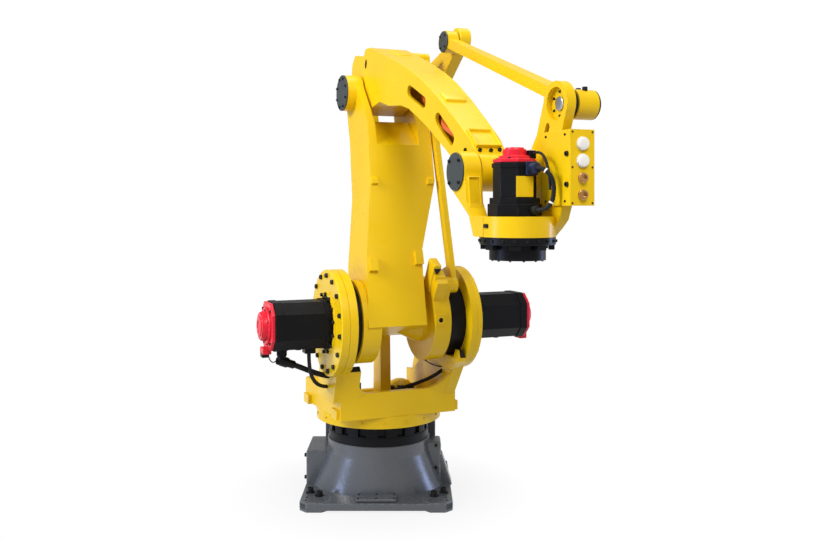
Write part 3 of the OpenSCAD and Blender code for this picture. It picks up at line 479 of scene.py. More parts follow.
for x in (-0.27, -0.09, 0.09, 0.27):
    screw("base", shift(x, REAR_PLATE_SIDE, 0.34) @ CRANK_SIDE, *PLATE_SCREW)
show_batch("base_trim")

# %% [markdown]
# ## Turret
# Each shoulder flange is held by a full circle of socket screws and its motor's foot by a
# smaller one, inside a low raised ring. Round parts such as the ring are spun from their
# outline, as they would be turned.


# %% Flange screws and rings
CLOSE = 0.00001


def around(place, r, count, start=0.0):
    for k in range(count):
        angle = radians(start) + 2 * pi * k / count
        yield place @ shift(r * cos(angle), r * sin(angle), 0)


def lathe(body, coat, place, outline, steps=40):
    # an outline of (radius, height) runs from axis to axis, or else is closed into a ring
    part = bmesh.new()
    line = [part.verts.new((r, 0, z)) for r, z in outline]
    edges = [part.edges.new(pair) for pair in zip(line, line[1:])]
    if outline[0][0] > 0:
        edges.append(part.edges.new((line[-1], line[0])))
    bmesh.ops.spin(part, geom=line + edges, cent=(0, 0, 0), axis=(0, 0, 1), angle=2 * pi, steps=steps,
                   use_merge=True)
    bmesh.ops.remove_doubles(part, verts=part.verts, dist=CLOSE)
    bmesh.ops.recalc_face_normals(part, faces=part.faces)
    gather(body, coat, part, place)


J2_REACH, J3_REACH = 0.384, 0.318
J2_FACE = SHOULDER @ shift(0, -J2_REACH, 0) @ DRIVE_SIDE
J3_FACE = SHOULDER @ shift(0, J3_REACH, 0) @ CRANK_SIDE
FLANGE_CIRCLE, FLANGE_COUNT, FLANGE_START, FLANGE_SCREW = 0.226, 15, 15, (0.0115, 0.010)
FOOT_CIRCLE, FOOT_COUNT, FOOT_START, FOOT_SCREW, FOOT_RISE = 0.139, 14, 8, (0.0085, 0.011), 0.004
FOOT_RING = [(0.150, -0.001), (0.150, 0.003), (0.146, 0.005), (0.132, 0.005), (0.1285, 0.002),
             (0.1285, -0.004)]
for face in (J2_FACE, J3_FACE):
    for place in around(face, FLANGE_CIRCLE, FLANGE_COUNT, FLANGE_START):
        screw("turret", place, *FLANGE_SCREW)
    for place in around(face @ shift(0, 0, FOOT_RISE), FOOT_CIRCLE, FOOT_COUNT, FOOT_START):
        screw("turret", place, *FOOT_SCREW)
    lathe("turret", YELLOW, face, FOOT_RING, steps=72)
print("flange faces:", [round(v, 3) for v in J2_FACE.translation], [round(v, 3) for v in J3_FACE.translation])

# %% Dome over the slewing gear
TUB_FLOOR = 0.45
DOME_AT = (-0.08, 0.15, TUB_FLOOR)
DOME = [(0, 0), (0.070, 0), (0.070, 0.060), (0.066, 0.072), (0.050, 0.090), (0.025, 0.101), (0, 0.104)]
lathe("turret", YELLOW, TURRET @ shift(*DOME_AT), DOME, steps=56)
print("dome height", DOME[-1][1], "m")

# %% [markdown]
# The tub's front wall sweeps up into the uprights in a curve, with no corner. A bevel of the
# casting can't run that wide, so each sweep is a small body of its own: an arc is spun from
# one vertex, drawn out to the upright and down to the wall, and the strip is made thick.

# %% Sweeps into the uprights
WALL_TOP, WALL_FRONT, LEAN_FOOT = 0.576, 0.316, 0.541
SWEEP_DEPTH, SWEEP_STEPS, OVERLAP = 0.030, 16, 0.002


def drawn_out(bm, edges):
    made = bmesh.ops.extrude_edge_only(bm, edges=edges)["geom"]
    return [v for v in made if isinstance(v, bmesh.types.BMVert)]


def sweep(corner, radius, slope):
    # corner: where the upright's inner face is; slope: how the upright leans forward
    bm = bmesh.new()
    side = 1 if corner > 0 else -1
    tip = bm.verts.new((WALL_FRONT, corner, WALL_TOP + radius))
    bmesh.ops.spin(bm, geom=[tip], cent=(WALL_FRONT, corner - side * radius, WALL_TOP + radius),
                   axis=(1, 0, 0), angle=-side * pi / 2, steps=SWEEP_STEPS)
    for vert in bm.verts:
        share = (side * (vert.co.y - corner) + radius) / radius
        vert.co.x += slope * (vert.co.z - LEAN_FOOT) * share
    for vert in drawn_out(bm, bm.edges):
        vert.co = (WALL_FRONT + slope * (vert.co.z - LEAN_FOOT), corner + side * OVERLAP, vert.co.z)
    lowest = [e for e in bm.edges if max(v.co.z for v in e.verts) < WALL_TOP + CLOSE]
    for vert in drawn_out(bm, lowest):
        vert.co = (WALL_FRONT - OVERLAP, vert.co.y, LEAN_FOOT)
    thick = bmesh.ops.extrude_face_region(bm, geom=bm.faces)["geom"]
    behind = [v for v in thick if isinstance(v, bmesh.types.BMVert)]
    bmesh.ops.translate(bm, verts=behind, vec=(-SWEEP_DEPTH, 0, 0))
    bmesh.ops.recalc_face_normals(bm, faces=bm.faces)
    gather("turret", YELLOW, bm, TURRET)


sweep(corner=0.239, radius=0.115, slope=0.728)
sweep(corner=-0.226, radius=0.065, slope=0.35)
show_as("gear_dome", "turret", YELLOW, ["slew_gear_cover"])

# %% [markdown]
# Black studs stand on the tub's floor, painted screws look outward around its collar, and a thin
# black block on the drive-side flange's rim is painted shade standing for a slot. Each collar screw could be
# turned by hand.
# A frame that looks away from the collar's middle turns all of them alike.


# %% Studs, collar screws and painted slot shade
def facing(at, way):
    # frame at a point, its up along the way
    return Matrix.Translation(at) @ way.to_track_quat("Z", "Y").to_matrix().to_4x4()


def outward(place, r, count, start):
    for spot in around(place, r, count, start):
        yield facing(spot.translation, spot.translation - place.translation)


STUD, STUD_TALL = 0.016, 0.062
COLLAR_AT, TUB_COLLAR, COLLAR_SCREW = (0, 0, 0.421), 0.3225, (0.006, 0.005)
LEDGE_Y, LEDGE_TOP, LEDGE_SCREW = -0.325, 0.575, (0.010, 0.010)
SLOT_TURN, SLOT_AT, SLOT_SHADE = radians(-118), (0, -0.366, 0.2525), (0.060, 0.007, 0.004)
STUDS = ((-0.16, -0.19), (-0.16, -0.12), (-0.16, -0.06), (-0.02, 0.08), (-0.02, 0.13), (0.01, 0.18))
for x, y in STUDS:
    lathe("turret", BLACK, TURRET @ shift(x, y, TUB_FLOOR),
          [(0, 0), (STUD, 0), (STUD, STUD_TALL), (0, STUD_TALL)], steps=20)
    screw("turret", TURRET @ shift(x, y, TUB_FLOOR + STUD_TALL), STUD, STUD)
for place in outward(TURRET @ shift(*COLLAR_AT), TUB_COLLAR, 18, 5):
    screw("turret", place, *COLLAR_SCREW, YELLOW)
for x in (0.04, 0.10, 0.16):
    screw("turret", TURRET @ shift(x, LEDGE_Y, LEDGE_TOP), *LEDGE_SCREW)
# a thin black block on the rim: painted shade standing for a slot
block("turret", BLACK, SHOULDER @ tilt(SLOT_TURN) @ shift(*SLOT_AT), SLOT_SHADE, soft=0.001)
show_batch("turret_trim")

# %% [markdown]
# ## Motors
# Each servo motor is an eight-sided black case with a stepped foot and end, a red plate with a
# domed brake cover, and plugs. The case is a solid already, so only what stands on it is made.

# %% Shoulder motors
MOTOR_WIDTH, MOTOR_CUT, PLATE, COVER = 0.218, 0.225, 0.016, 0.050
PLATE_CIRCLE, CASE_SCREW = 0.105, (0.0065, 0.005)
BRAKE_CIRCLE, BRAKE_RISE, BRAKE_SCREW = 0.077, 0.026, (0.004, 0.003)
PLUG_APART, PLUG_SHARE, UNDERSIDE = 0.042, 0.55, 0.1085
BRAKE_RING = [(0.088, 0), (0.088, 0.006), (0.084, 0.010), (0.070, 0.010), (0.068, 0.024), (0.0645, 0.030),
              (0.0645, 0)]
BRAKE_DOME = [(0, 0), (0.048, 0), (0.046, 0.004), (0.030, 0.005), (0.028, 0.002), (0, 0.002)]
MOTOR_PLUG = [(0, 0), (0.014, 0), (0.014, 0.004), (0.009, 0.005), (0.009, 0.003), (0, 0.003)]


def motor_trim(face, length, drop):
    # face: frame on the flange, its up along the motor; drop: 1 or -1, which way is down in it
    for middle, wider, thick in ((0.016, 0.008, 0.032), (length - 0.020, 0.006, 0.036)):
        size = (MOTOR_WIDTH + wider, MOTOR_WIDTH + wider, thick)
        block("turret", CASE, face @ shift(0, 0, middle), size, chamfer=MOTOR_WIDTH * MOTOR_CUT)
    lathe("turret", RED, face @ shift(0, 0, length + PLATE), BRAKE_RING, steps=48)
    lathe("turret", RED, face @ shift(0, 0, length + COVER), BRAKE_DOME, steps=40)
    for place in around(face @ shift(0, 0, length + PLATE), PLATE_CIRCLE, 4, 45):
        screw("turret", place, *CASE_SCREW)
    for place in around(face @ shift(0, 0, length + BRAKE_RISE), BRAKE_CIRCLE, 6, 20):
        screw("turret", place, *BRAKE_SCREW)
    for x in (-PLUG_APART, PLUG_APART):
        below = face @ shift(x, -UNDERSIDE * drop, length * PLUG_SHARE)
        lathe("turret", CASE, below @ Matrix.Rotation(pi / 2 * drop, 4, "X"), MOTOR_PLUG, steps=24)


motor_trim(J2_FACE, length=0.271, drop=1)
motor_trim(J3_FACE, length=0.322, drop=-1)
print("motor trim:", sum(len(bm.faces) for bm in BATCH.values()), "faces")

# %% [markdown]
# The drive motor's cable leaves through an elbow connector below the case. A bent body could
# be swept, but two turned ones do it: one hangs down, and the other starts inside it, which
# hides the joint, and points along the conduit.

# %% Connectors of the shoulder motors
HANGING = [(0, 0), (0.030, 0), (0.030, 0.010), (0.024, 0.014), (0.024, 0.034), (0.020, 0.038), (0.020, 0.060),
           (0, 0.060)]
POINTING = [(0, -0.020), (0.022, -0.020), (0.024, 0), (0.024, 0.030), (0.019, 0.034), (0.019, 0.070),
            (0, 0.070)]
ALONG, ELBOW_PLUG = Vector((-0.320, 0.876, -0.361)), Vector((0.333, -0.600, 0.764))
BRAKE_SOCKET, SOCKET_LIP, SECOND_PLUG = (0.066, 0.040, 0.030), (0.044, 0.034, 0.020), (0.060, 0.052, 0.034)
block("turret", RED, SHOULDER @ shift(0, -0.676, -0.113), BRAKE_SOCKET, soft=0.003)
block("turret", BLACK, SHOULDER @ shift(0, -0.680, -0.134), SOCKET_LIP, soft=0.003)
lathe("turret", BLACK, SHOULDER @ shift(0, -0.6, -0.107) @ DOWN, HANGING, steps=32)
lathe("turret", BLACK, TURRET @ facing(ELBOW_PLUG, ALONG), POINTING, steps=32)
block("turret", BLACK, SHOULDER @ shift(0, -0.47, -0.120), SECOND_PLUG, soft=0.004)
block("turret", RED, SHOULDER @ shift(0, 0.66, -0.113), BRAKE_SOCKET, soft=0.003)
show_batch("motor_trim")

# %% [markdown]
# ## Cables of the turret
# The motor's cables are corrugated conduit and plain round cable. A swept circle follows the
# same route as each solid, and the conduit's radius steps along its line to make the ribs.


# %% One cord from its route
def bend(a, b, c, d, n=40):
    a, b, c, d = Vector(a), Vector(b), Vector(c), Vector(d)
    return [(1 - t) ** 3 * a + 3 * (1 - t) ** 2 * t * b + 3 * (1 - t) * t * t * c + t ** 3 * d
            for t in (k / n for k in range(n + 1))]


def tube(name, body, coat, place, points, r, replaced, ribbed):
    line = bpy.data.curves.new(name + "_line", "CURVE")
    line.dimensions, line.bevel_depth, line.bevel_resolution, line.use_fill_caps = "3D", r, 6, True
    spline = line.splines.new("POLY")
    spline.points.add(len(points) - 1)
    for k, (knot, point) in enumerate(zip(spline.points, points)):
        knot.co = (*point, 1)
        knot.radius = 1 - ribbed * (k % 4 > 1)
    holder = bpy.data.objects.new(name + "_line", line)
    swept = bpy.data.meshes.new_from_object(holder)
    bm = bmesh.new()
    bm.from_mesh(swept)
    bpy.data.objects.remove(holder)
    bpy.data.meshes.remove(swept)
    return show(name, bm, body, coat, replaced, place)


def cord(name, body, coat, place, points, r, replaced=(), ribbed=0.0):
    piece = tube(name, body, coat, place, points, r, replaced, ribbed)
    path = [place @ Vector(p) for p in points]
    length = sum((b - a).length for a, b in zip(path, path[1:]))
    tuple(path[0])
    [list(p) for p in path]
    print(name, "length", round(length, 3), "m")


# %% Leads of the shoulder motors
LEAD, CONDUIT, WIRE, THIN_WIRE = 0.009, 0.013, 0.0025, 0.003
RIBS, PLUG_REACH, STRAIGHT = 0.12, 0.066, 0.06
route = bend((0.06, -0.04, TUB_FLOOR), (0.08, 0, 0.558), (0.2528, 0.1243, 0.558), (0.2844, 0.245, 0.66))
cord("turret_lead", "turret", RUBBER, TURRET, route, LEAD, ["turret_cable"])
start = ELBOW_PLUG + PLUG_REACH * ALONG
route = bend(start, start + STRAIGHT * ALONG, (0.262, -0.405, 0.672), (0.2398, -0.345, 0.6595), n=160)
cord("drive_conduit", "turret", RUBBER, TURRET, route, CONDUIT, ["j2_conduit"], RIBS)
route = bend((0.333, -0.47, 0.800), (0.333, -0.47, 0.70), (0.30, -0.45, 0.62), (0.20, -0.330, 0.600))
cord("second_lead", "turret", RUBBER, TURRET, route, LEAD)
route = bend((0.333, -0.6205, 0.776), (0.333, -0.638, 0.748), (0.333, -0.656, 0.760), (0.333, -0.664, 0.797))
cord("brake_wire", "turret", RUBBER, TURRET, route, WIRE)
route = bend((0.284, 0.233, 0.672), (0.20, 0.215, 0.665), (0.05, 0.215, 0.68), (-0.07, 0.2335, 0.70))
cord("thin_wire", "turret", RUBBER, TURRET, route, THIN_WIRE)

# %% [markdown]
# ## Arm, boom and links
# Slate caps close the pivots, each with a circle of small screws. Four loops would say the same
# thing four times, so the circles are rows of one table. The top link's far end is closed by a
# turned rubber cap.

# %% Caps and pins of the links
LINK_X, LINK_Z = 0.336, 0.238
LINK_TOP, LINK_END = ELBOW @ shift(LINK_X, 0, LINK_Z), WRIST @ shift(LINK_X, 0, LINK_Z)
CAP_SCREWS = (
    ("lower_arm", ELBOW @ shift(0, -0.203, 0) @ DRIVE_SIDE, 0.076, 8, 22.5, (0.0065, 0.006)),
    ("wrist", WRIST @ shift(0, -0.150, 0) @ DRIVE_SIDE, 0.060, 4, 45, (0.007, 0.006)),
    ("top_link", LINK_TOP @ shift(0, 0.220, 0) @ DRIVE_SIDE, 0.040, 4, 45, (0.005, 0.005)),
    ("level_rocker", ELBOW @ shift(0, 0.352, 0) @ CRANK_SIDE, 0.054, 6, 0, (0.006, 0.006)),
)
for body, face, circle, count, start, size in CAP_SCREWS:
    for place in around(face, circle, count, start):
        screw(body, place, *size)
END_CAP = [(0, -0.0072), (0.054, -0.0072), (0.054, -0.003), (0.051, 0), (0.046, 0), (0.046, 0.004),
           (0.030, 0.005), (0.028, 0.002), (0, 0.002)]
END_CAP_FACE, END_SCREW = 0.257, (0.010, 0.012)
lathe("top_link", RUBBER, LINK_END @ shift(0, END_CAP_FACE, 0) @ CRANK_SIDE, END_CAP, steps=56)
show_as("end_cap", "top_link", RUBBER, ["link_end_cap"])
for x in (-0.022, 0.022):
    screw("top_link", LINK_END @ shift(x, 0.207, 0.050), *END_SCREW)

# %% [markdown]
# The crank has a black plug in its pin, and a plug in a low round boss on its front. The boom
# has two pads on its back, a pocket with a rim near the wrist and a few screws. Pads and pocket
# are eased blocks let into the boom, because cuts in its copy would break up the bevels there.

# %% Crank plugs, boom pads and pocket
PIN_PLUG = [(0, 0), (0.019, 0), (0.019, 0.004), (0.015, 0.006), (0, 0.006)]
BOSS = [(0.022, 0), (0.022, 0.002), (0.0115, 0.002), (0.0115, -0.001)]
BOSS_PLUG = [(0, -0.001), (0.0115, -0.001), (0.0115, 0.0012), (0.006, 0.0006), (0, 0.0006)]
OVAL_PLUG = [(0, 0), (0.011, 0), (0.010, 0.0015), (0, 0.0015)]
BACK_PAD_AT, BACK_PAD, BACK_PAD_LEAN = (0.938, -0.006, 0.200), (0.080, 0.104, 0.028), radians(11.5)
TOP_PAD_AT, TOP_PAD = (0.190, 0.02, 0.254), (0.140, 0.070, 0.016)
POCKET_AT, POCKET, POCKET_LEAN = (1.270, -0.004, 0.108), (0.116, 0.112, 0.034), radians(19)
BOOM_SCREWS, BOOM_SCREW = ((1.339, -0.048, 0.084), (1.339, 0.0, 0.084), (1.335, 0.040, 0.086)), (0.008, 0.007)
SIDE_SCREW_AT, SIDE_SCREW, SCREW_LEAN = (1.261, -0.0695, 0.063), (0.008, 0.006), radians(28)
PIN_AT, BOSS_AT, OVAL_AT, OVAL = (0.1637, 0.216, 0.1755), (0.211, 0.117, 0.0135), (0.047, -0.1045, 0.167), 2.2
lathe("crank", BLACK, SHOULDER @ shift(*PIN_AT) @ CRANK_SIDE, PIN_PLUG, steps=28)
lathe("crank", YELLOW, SHOULDER @ shift(*BOSS_AT) @ AHEAD, BOSS, steps=32)
lathe("crank", BLACK, SHOULDER @ shift(*BOSS_AT) @ AHEAD, BOSS_PLUG, steps=28)
block("boom", YELLOW, BOOM @ shift(*BACK_PAD_AT) @ tilt(BACK_PAD_LEAN), BACK_PAD, soft=0.012)
block("boom", YELLOW, BOOM @ shift(*TOP_PAD_AT), TOP_PAD, soft=0.006)
block("boom", YELLOW, BOOM @ shift(*POCKET_AT) @ tilt(POCKET_LEAN), POCKET, soft=0.004, rim=0.009, sunk=0.012)
for at in BOOM_SCREWS:
    screw("boom", BOOM @ shift(*at) @ tilt(SCREW_LEAN), *BOOM_SCREW)
screw("boom", BOOM @ shift(*SIDE_SCREW_AT) @ DRIVE_SIDE, *SIDE_SCREW)
stretched = Matrix.Diagonal((1, OVAL, 1, 1))
lathe("boom", BLACK, BOOM @ shift(*OVAL_AT) @ DRIVE_SIDE @ stretched, OVAL_PLUG, steps=28)
print("small parts on", sorted({body for body, coat in BATCH}))

# %% [markdown]
# The crank's yoke holds the drive rod between two cheeks. The near cheek is a leaning block,
# and a rubber wedge is let into its front: a lathe with three steps makes the wedge.

# %% Near cheek of the crank
CHEEK_AT, CHEEK, CHEEK_LEAN = (0.141, 0.103, 0.223), (0.078, 0.042, 0.150), tilt(radians(28))
WEDGE_AT, WEDGE_OUT, WEDGE_UP = (0.150, 0.103, 0.240), 0.0385, 0.028
WEDGE = [(0, 0), (0.022, 0), (0.022, 0.004), (0, 0.004)]
block("crank", YELLOW, SHOULDER @ shift(*CHEEK_AT) @ CHEEK_LEAN, CHEEK, soft=0.008)
cheek_front = SHOULDER @ shift(*WEDGE_AT) @ CHEEK_LEAN @ shift(WEDGE_OUT, 0, WEDGE_UP)
lathe("crank", RUBBER, cheek_front @ AHEAD, WEDGE, steps=3)
show_batch("link_trim")

# %% [markdown]
# An orange hose runs inside the boom and shows in its slots. It sags between its clips and
# bulges toward the near slot, so its route is worked out point by point and swept like a cable.

# %% Hose in the boom
HOSE_START, HOSE_RUN = Vector((0.5408, 0, 0.1555)), Vector((0.5949, 0, -0.0811))
BULGE_AT, BULGE_REACH, BULGE_OUT, BULGE_UP, SAG_END, SAG = 0.84, 0.336, 0.062, 0.008, 0.6, 0.045
HOSE, HOSE_STEPS = 0.0145, 60
route = []
for k in range(HOSE_STEPS + 1):
    t = k / HOSE_STEPS
    bulge = cos(pi / 2 * min(abs(t - BULGE_AT) / BULGE_REACH, 1)) ** 2
    sag = sin(pi * min(t / SAG_END, 1)) ** 2
    route.append(HOSE_START + t * HOSE_RUN + Vector((0, -BULGE_OUT * bulge, BULGE_UP * bulge - SAG * sag)))
cord("boom_lead", "boom", ORANGE, BOOM, route, HOSE, ["boom_hose"])

# %% [markdown]
# ## Wrist
# The tool motor stands upright in the wrist. Like the shoulder motors it gets a stepped foot
# and end, a red brake cover and plugs. The power plug is a row of turned ribs, and a plain
# yellow plate stands for the motor's label.

# %% Tool motor and its plugs
TOOL_X = 0.230
MOTOR = WRIST @ shift(TOOL_X, -0.012, -0.170)
TOOL_MOTOR, TOOL_CUT, TOOL_PLATE, TOOL_COVER = 0.150, 0.3, 0.210, 0.246
TOOL_CIRCLE, TOOL_SCREW = 0.068, (0.005, 0.004)
SOCKET_AT, SOCKET = (0.03, 0.05, 0.226), (0.034, 0.03, 0.03)
INSERT_AT, INSERT = (0.03, 0.05, 0.2425), (0.022, 0.018, 0.003)
PLUG_RIBS, RIB_PITCH, RIB_START = 6, 0.0068, (0.306, 0.015, 0.004)
PLUG_FOOT_AT, PLUG_FOOT = (0.309, 0.015, 0.004), (0.010, 0.050, 0.050)
LABEL_AT, LABEL = (0.3058, -0.012, -0.062), (0.0016, 0.070, 0.075)
LOWER_PLUG_AT = (0.322, 0.015, -0.147)
TOOL_RING = [(0.060, 0), (0.060, 0.008), (0.056, 0.012), (0.0445, 0.012), (0.0445, 0.030), (0.040, 0.030),
             (0.040, 0)]
TOOL_DOME = [(0, 0), (0.036, 0), (0.034, 0.006), (0.020, 0.007), (0, 0.007)]
PLUG_RIB = [(0, 0), (0.017, 0), (0.0195, 0.0015), (0.0195, 0.0045), (0.017, 0.006), (0, 0.006)]
LOWER_PLUG = [(0, 0), (0.016, 0), (0.016, 0.016), (0.010, 0.022), (0, 0.022)]
for middle, wider, thick in ((0.056, 0.018, 0.024), (0.186, 0.006, 0.016)):
    size = (TOOL_MOTOR + wider, TOOL_MOTOR + wider, thick)
    block("wrist", CASE, MOTOR @ shift(0, 0, middle), size, chamfer=TOOL_MOTOR * TOOL_CUT)
lathe("wrist", RED, MOTOR @ shift(0, 0, TOOL_PLATE), TOOL_RING, steps=40)
lathe("wrist", RED, MOTOR @ shift(0, 0, TOOL_COVER), TOOL_DOME, steps=32)
for place in around(MOTOR @ shift(0, 0, TOOL_PLATE), TOOL_CIRCLE, 4, 45):
    screw("wrist", place, *TOOL_SCREW)
block("wrist", BLACK, MOTOR @ shift(*SOCKET_AT), SOCKET, soft=0.003)
block("wrist", WHITE, MOTOR @ shift(*INSERT_AT), INSERT, soft=0.001)
for k in range(PLUG_RIBS):
    lathe("wrist", BLUE, WRIST @ shift(*RIB_START) @ shift(RIB_PITCH * k, 0, 0) @ AHEAD, PLUG_RIB, steps=28)
block("wrist", BLUE, WRIST @ shift(*PLUG_FOOT_AT), PLUG_FOOT, soft=0.003)
block("wrist", YELLOW, WRIST @ shift(*LABEL_AT), LABEL, soft=0.0006)
lathe("wrist", RUBBER, WRIST @ shift(*LOWER_PLUG_AT) @ AHEAD, LOWER_PLUG, steps=28)
show_batch("tool_motor")

# %% [markdown]
# Below the wrist's housing the tool reducer has lugs under its rim and small screws around
# it. The near leg has a recess, made like the boom's pocket: a thin block with a rim and a sunk
# face, let into the leg.

# %% Housing screws, leg recess and tool flange
LUGS, LUG_START, LUG_CIRCLE, LUG_Z, LUG = 8, 12, 0.124, -0.281, (0.022, 0.040, 0.020)
RIM_CIRCLE, RIM_Z, RIM_SCREW = 0.1395, -0.259, (0.0055, 0.005)
RECESS_AT, RECESS, RECESS_LEAN = (0.089, -0.108, -0.080), (0.120, 0.052, 0.020), radians(82.5)
STOP_AT, STOP = (0.248, -0.1400, -0.204), (0.030, 0.007, 0.015)
KNUCKLE_Y, KNUCKLE_CIRCLE, KNUCKLE_SCREW = 0.117, 0.044, (0.005, 0.005)
TOOL_FACE, FACE_CIRCLE, FACE_SCREW = -0.330, 0.094, (0.004, 0.003)
PIN_CAP = [(0, 0), (0.026, 0), (0.026, 0.006), (0.022, 0.008), (0, 0.008)]
for k in range(LUGS):
    turned = Matrix.Rotation(radians(LUG_START + 360 / LUGS * k), 4, "Z")
    block("wrist", BLACK, WRIST @ shift(TOOL_X, 0, LUG_Z) @ turned @ shift(LUG_CIRCLE, 0, 0), LUG)
for place in outward(WRIST @ shift(TOOL_X, 0, RIM_Z), RIM_CIRCLE, 20, 3):
    screw("wrist", place, *RIM_SCREW)
block("wrist", YELLOW, WRIST @ shift(*RECESS_AT) @ tilt(RECESS_LEAN), RECESS, soft=0.003, rim=0.008, sunk=0.009)
block("wrist", BLACK, WRIST @ shift(*STOP_AT), STOP, soft=0.003)
knuckle = LINK_END @ shift(0, KNUCKLE_Y, 0) @ DRIVE_SIDE
for place in around(knuckle, KNUCKLE_CIRCLE, 6, 30):
    screw("wrist", place, *KNUCKLE_SCREW)
lathe("wrist", STEEL, knuckle, PIN_CAP, steps=36)
for place in around(WRIST @ shift(TOOL_X, 0, TOOL_FACE), FACE_CIRCLE, 12, 15):
    screw("tool", place @ DOWN, *FACE_SCREW)
show_batch("wrist_trim")

# %% [markdown]
# The connector cover carries two capped sockets and two brass air fittings. A cap's grip is a
# ring of small ribs around a turned body, which costs fewer faces than a knurled one.

# %% Connector cover
COVER_X, COVER_Y, COVER_SIDE = 0.453, 0.135, 0.085
SOCKETS, FITTINGS, GRIP, GRIP_RIBS = (0.087, 0.027), (-0.033, -0.093), 0.0208, 14
SOCKET_CAP = [(0, 0), (0.0245, 0), (0.0245, 0.003), (0.021, 0.003), (0.021, 0.012), (0.018, 0.014),
              (0, 0.014)]
GRIP_RIB = [(0, 0.003), (0.0016, 0.003), (0.0016, 0.0115), (0, 0.0115)]
FITTING = [(0, 0), (0.0185, 0), (0.0185, 0.005), (0.016, 0.006), (0.016, 0.014), (0.010, 0.014),
           (0.010, 0.004), (0, 0.004)]
for z in SOCKETS:
    at = WRIST @ shift(COVER_X, COVER_Y, z) @ AHEAD
    lathe("wrist", WHITE, at, SOCKET_CAP, steps=36)
    for place in around(at, GRIP, GRIP_RIBS):
        lathe("wrist", WHITE, place, GRIP_RIB, steps=8)
show_as("socket_caps", "wrist", WHITE, ["connector_caps"])
for z in FITTINGS:
    lathe("wrist", BRASS, WRIST @ shift(COVER_X, COVER_Y, z) @ AHEAD, FITTING, steps=32)
show_as("brass_fittings", "wrist", BRASS, ["air_fittings"])

# %% Screws of the cover
COVER_KNOB, LID_SCREW, WALL_SCREW = (0.0095, 0.007), (0.0035, 0.002), (0.0045, 0.003)
for z in (0.052, -0.056):
    screw("wrist", WRIST @ shift(0.434, COVER_SIDE, z) @ DRIVE_SIDE, *COVER_KNOB)
for y in (0.094, 0.176):
    for z in (0.128, 0.004, -0.122):
        screw("wrist", WRIST @ shift(COVER_X, y, z) @ AHEAD, *LID_SCREW)
for x in (0.29, 0.42):
    for z in (0.12, -0.115):
        screw("wrist", WRIST @ shift(x, COVER_SIDE, z) @ DRIVE_SIDE, *WALL_SCREW)
show_batch("cover_trim")

# %% [markdown]
# The tool motor's cable loops from its upper plug down to its lower one, with a thinner brake
# lead beside it and white ties. The loop is two bends that meet, so that its middle hangs straight.

# %% Cable loop of the tool motor
LOOP, BRAKE_LEAD, LOOP_STEPS, TIES_AT = 0.008, 0.005, 24, (8, 30)
TIE = [(0.0081, -0.003), (0.0098, -0.003), (0.0098, 0.003), (0.0081, 0.003)]
upper = bend((0.347, 0.015, 0.004), (0.389, 0.030, 0.004), (0.392, 0.058, -0.030), (0.390, 0.058, -0.075),
             LOOP_STEPS)
lower = bend((0.389, 0.057, -0.090), (0.384, 0.054, -0.150), (0.365, 0.015, -0.147), (0.323, 0.015, -0.147),
             LOOP_STEPS)
route = upper + lower
cord("tool_motor_lead", "wrist", RUBBER, WRIST, route, LOOP, ["j4_cable"])
brake = bend((0.276, 0.040, 0.058), (0.335, 0.045, 0.078), (0.372, 0.050, 0.030), (0.3775, 0.050, -0.075))
cord("tool_brake_lead", "wrist", RUBBER, WRIST, brake, BRAKE_LEAD)
for k in TIES_AT:
    lathe("wrist", WHITE, WRIST @ facing(route[k], route[k + 1] - route[k - 1]), TIE, steps=24)
show_batch("cable_ties")

# %% [markdown]
# ## Floor
# The photograph's background is white with a faint shadow under the machine. More light would
# bleach the paint, so the camera sees a floor that glows white and lets a little of its lit
# grey show close to the base, while light from elsewhere meets plain grey.

# %% Floor
FLOOR_RADIUS, FLOOR_GREY, FLOOR_ROUGH = 30, (0.42, 0.42, 0.42, 1), 0.8
FADE_FROM, FADE_TO, GLOW = 0.4, 0.8, 0.86
bm = bmesh.new()
bmesh.ops.create_circle(bm, cap_ends=True, segments=64, radius=FLOOR_RADIUS)
mesh = bpy.data.meshes.new("floor")
bm.to_mesh(mesh)
bm.free()
floor = bpy.data.objects.new("floor", mesh)
bpy.context.collection.objects.link(floor)
pale = bpy.data.materials.new("pale floor")
pale.use_nodes = True
tree = pale.node_tree
shader = tree.nodes["Principled BSDF"]
shader.inputs["Base Color"].default_value = FLOOR_GREY
shader.inputs["Roughness"].default_value = FLOOR_ROUGH
spot = add(tree, "TexCoord")
away = add(tree, "VectorMath", [(spot.outputs["Object"], 0)], operation="LENGTH")
fade = add(tree, "MapRange", [(away.outputs["Value"], "Value")], From_Min=FADE_FROM, From_Max=FADE_TO,
           To_Min=GLOW, To_Max=1.0)
path = add(tree, "LightPath")
seen = add(tree, "Math", [(path.outputs["Is Camera Ray"], 0), (path.outputs["Is Glossy Ray"], 1)],
           operation="MAXIMUM")
share = add(tree, "Math", [(seen.outputs[0], 0), (fade.outputs["Result"], 1)], operation="MULTIPLY")
white = add(tree, "Emission", Strength=1.0)
mixed = add(tree, "MixShader", [(share.outputs[0], 0), (shader.outputs[0], 1), (white.outputs[0], 2)])
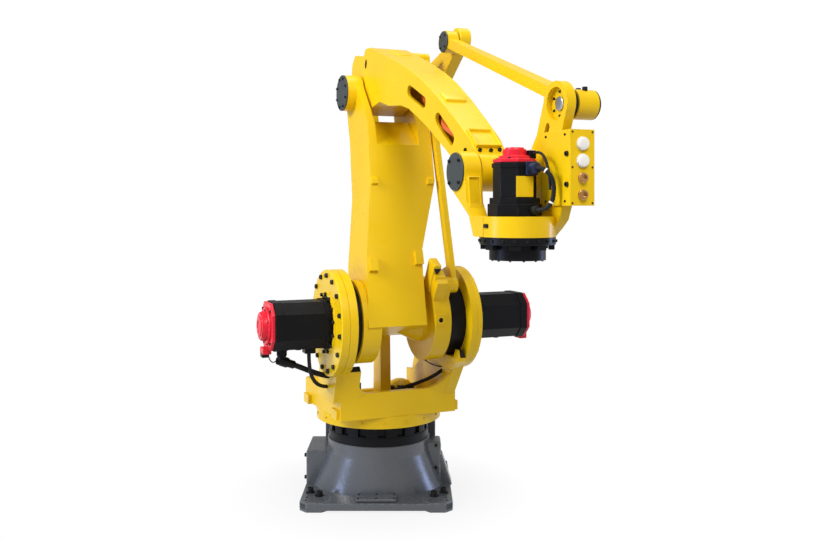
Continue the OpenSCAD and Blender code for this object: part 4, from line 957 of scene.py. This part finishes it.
tree.links.new(mixed.outputs[0], tree.nodes["Material Output"].inputs["Surface"])
mesh.materials.append(pale)
print("floor radius", FLOOR_RADIUS, "m")

# %% [markdown]
# ## Light
# A round lamp from the left and a panel in front give the bright faces and the soft shade of
# the photograph, and a ceiling lamp lifts the tops. Two low, cool strips draw the bluish
# streaks that the grey skirt and the black cases show. The world adds an even fill.

# %% World
FILL, WHITE_SKY = 0.45, 1.0
sky = bpy.data.worlds.new("studio")
sky.use_nodes = True
bpy.context.scene.world = sky
tree = sky.node_tree
shell = tree.nodes["Background"]
shell.inputs["Color"].default_value = (1, 1, 1, 1)
path = add(tree, "LightPath")
seen = add(tree, "Math", [(path.outputs["Is Camera Ray"], 0), (path.outputs["Is Transmission Ray"], 1)],
           operation="MAXIMUM")
level = add(tree, "MapRange", [(seen.outputs[0], "Value")], To_Min=FILL, To_Max=WHITE_SKY)
tree.links.new(level.outputs["Result"], shell.inputs["Strength"])
print("world fill", FILL)


# %% Lamps
def lamp(name, at, aim, size, watts, tall=0.0, tint=(1, 1, 1)):
    light = bpy.data.lights.new(name, "AREA")
    light.shape, light.size, light.energy, light.color = "DISK", size, watts, tint
    if tall:
        light.shape, light.size_y = "RECTANGLE", tall
    held = bpy.data.objects.new(name, light)
    held.location = at
    held.rotation_euler = (Vector(aim) - Vector(at)).to_track_quat("-Z", "Y").to_euler()
    bpy.context.collection.objects.link(held)
    print(name, watts, "W")


COOL, STRIP_TALL = (0.45, 0.58, 1.0), 1.8
lamp("left window", (-4.5, -2.6, 4.4), (0.1, -0.4, 1.2), 2.6, 300)
lamp("front panel", (1.3, -4.8, 5.2), (0.1, -0.4, 1.4), 3.0, 225)
lamp("ceiling", (0.6, 0.2, 5.2), (0.3, -0.6, 1.4), 2.4, 45)
lamp("left strip", (-4.6, -2.5, 0.5), (0, 0, 0.5), 0.9, 100, STRIP_TALL, COOL)
lamp("right strip", (4.6, 0.1, 0.7), (0, 0, 0.5), 0.7, 55, STRIP_TALL, COOL)
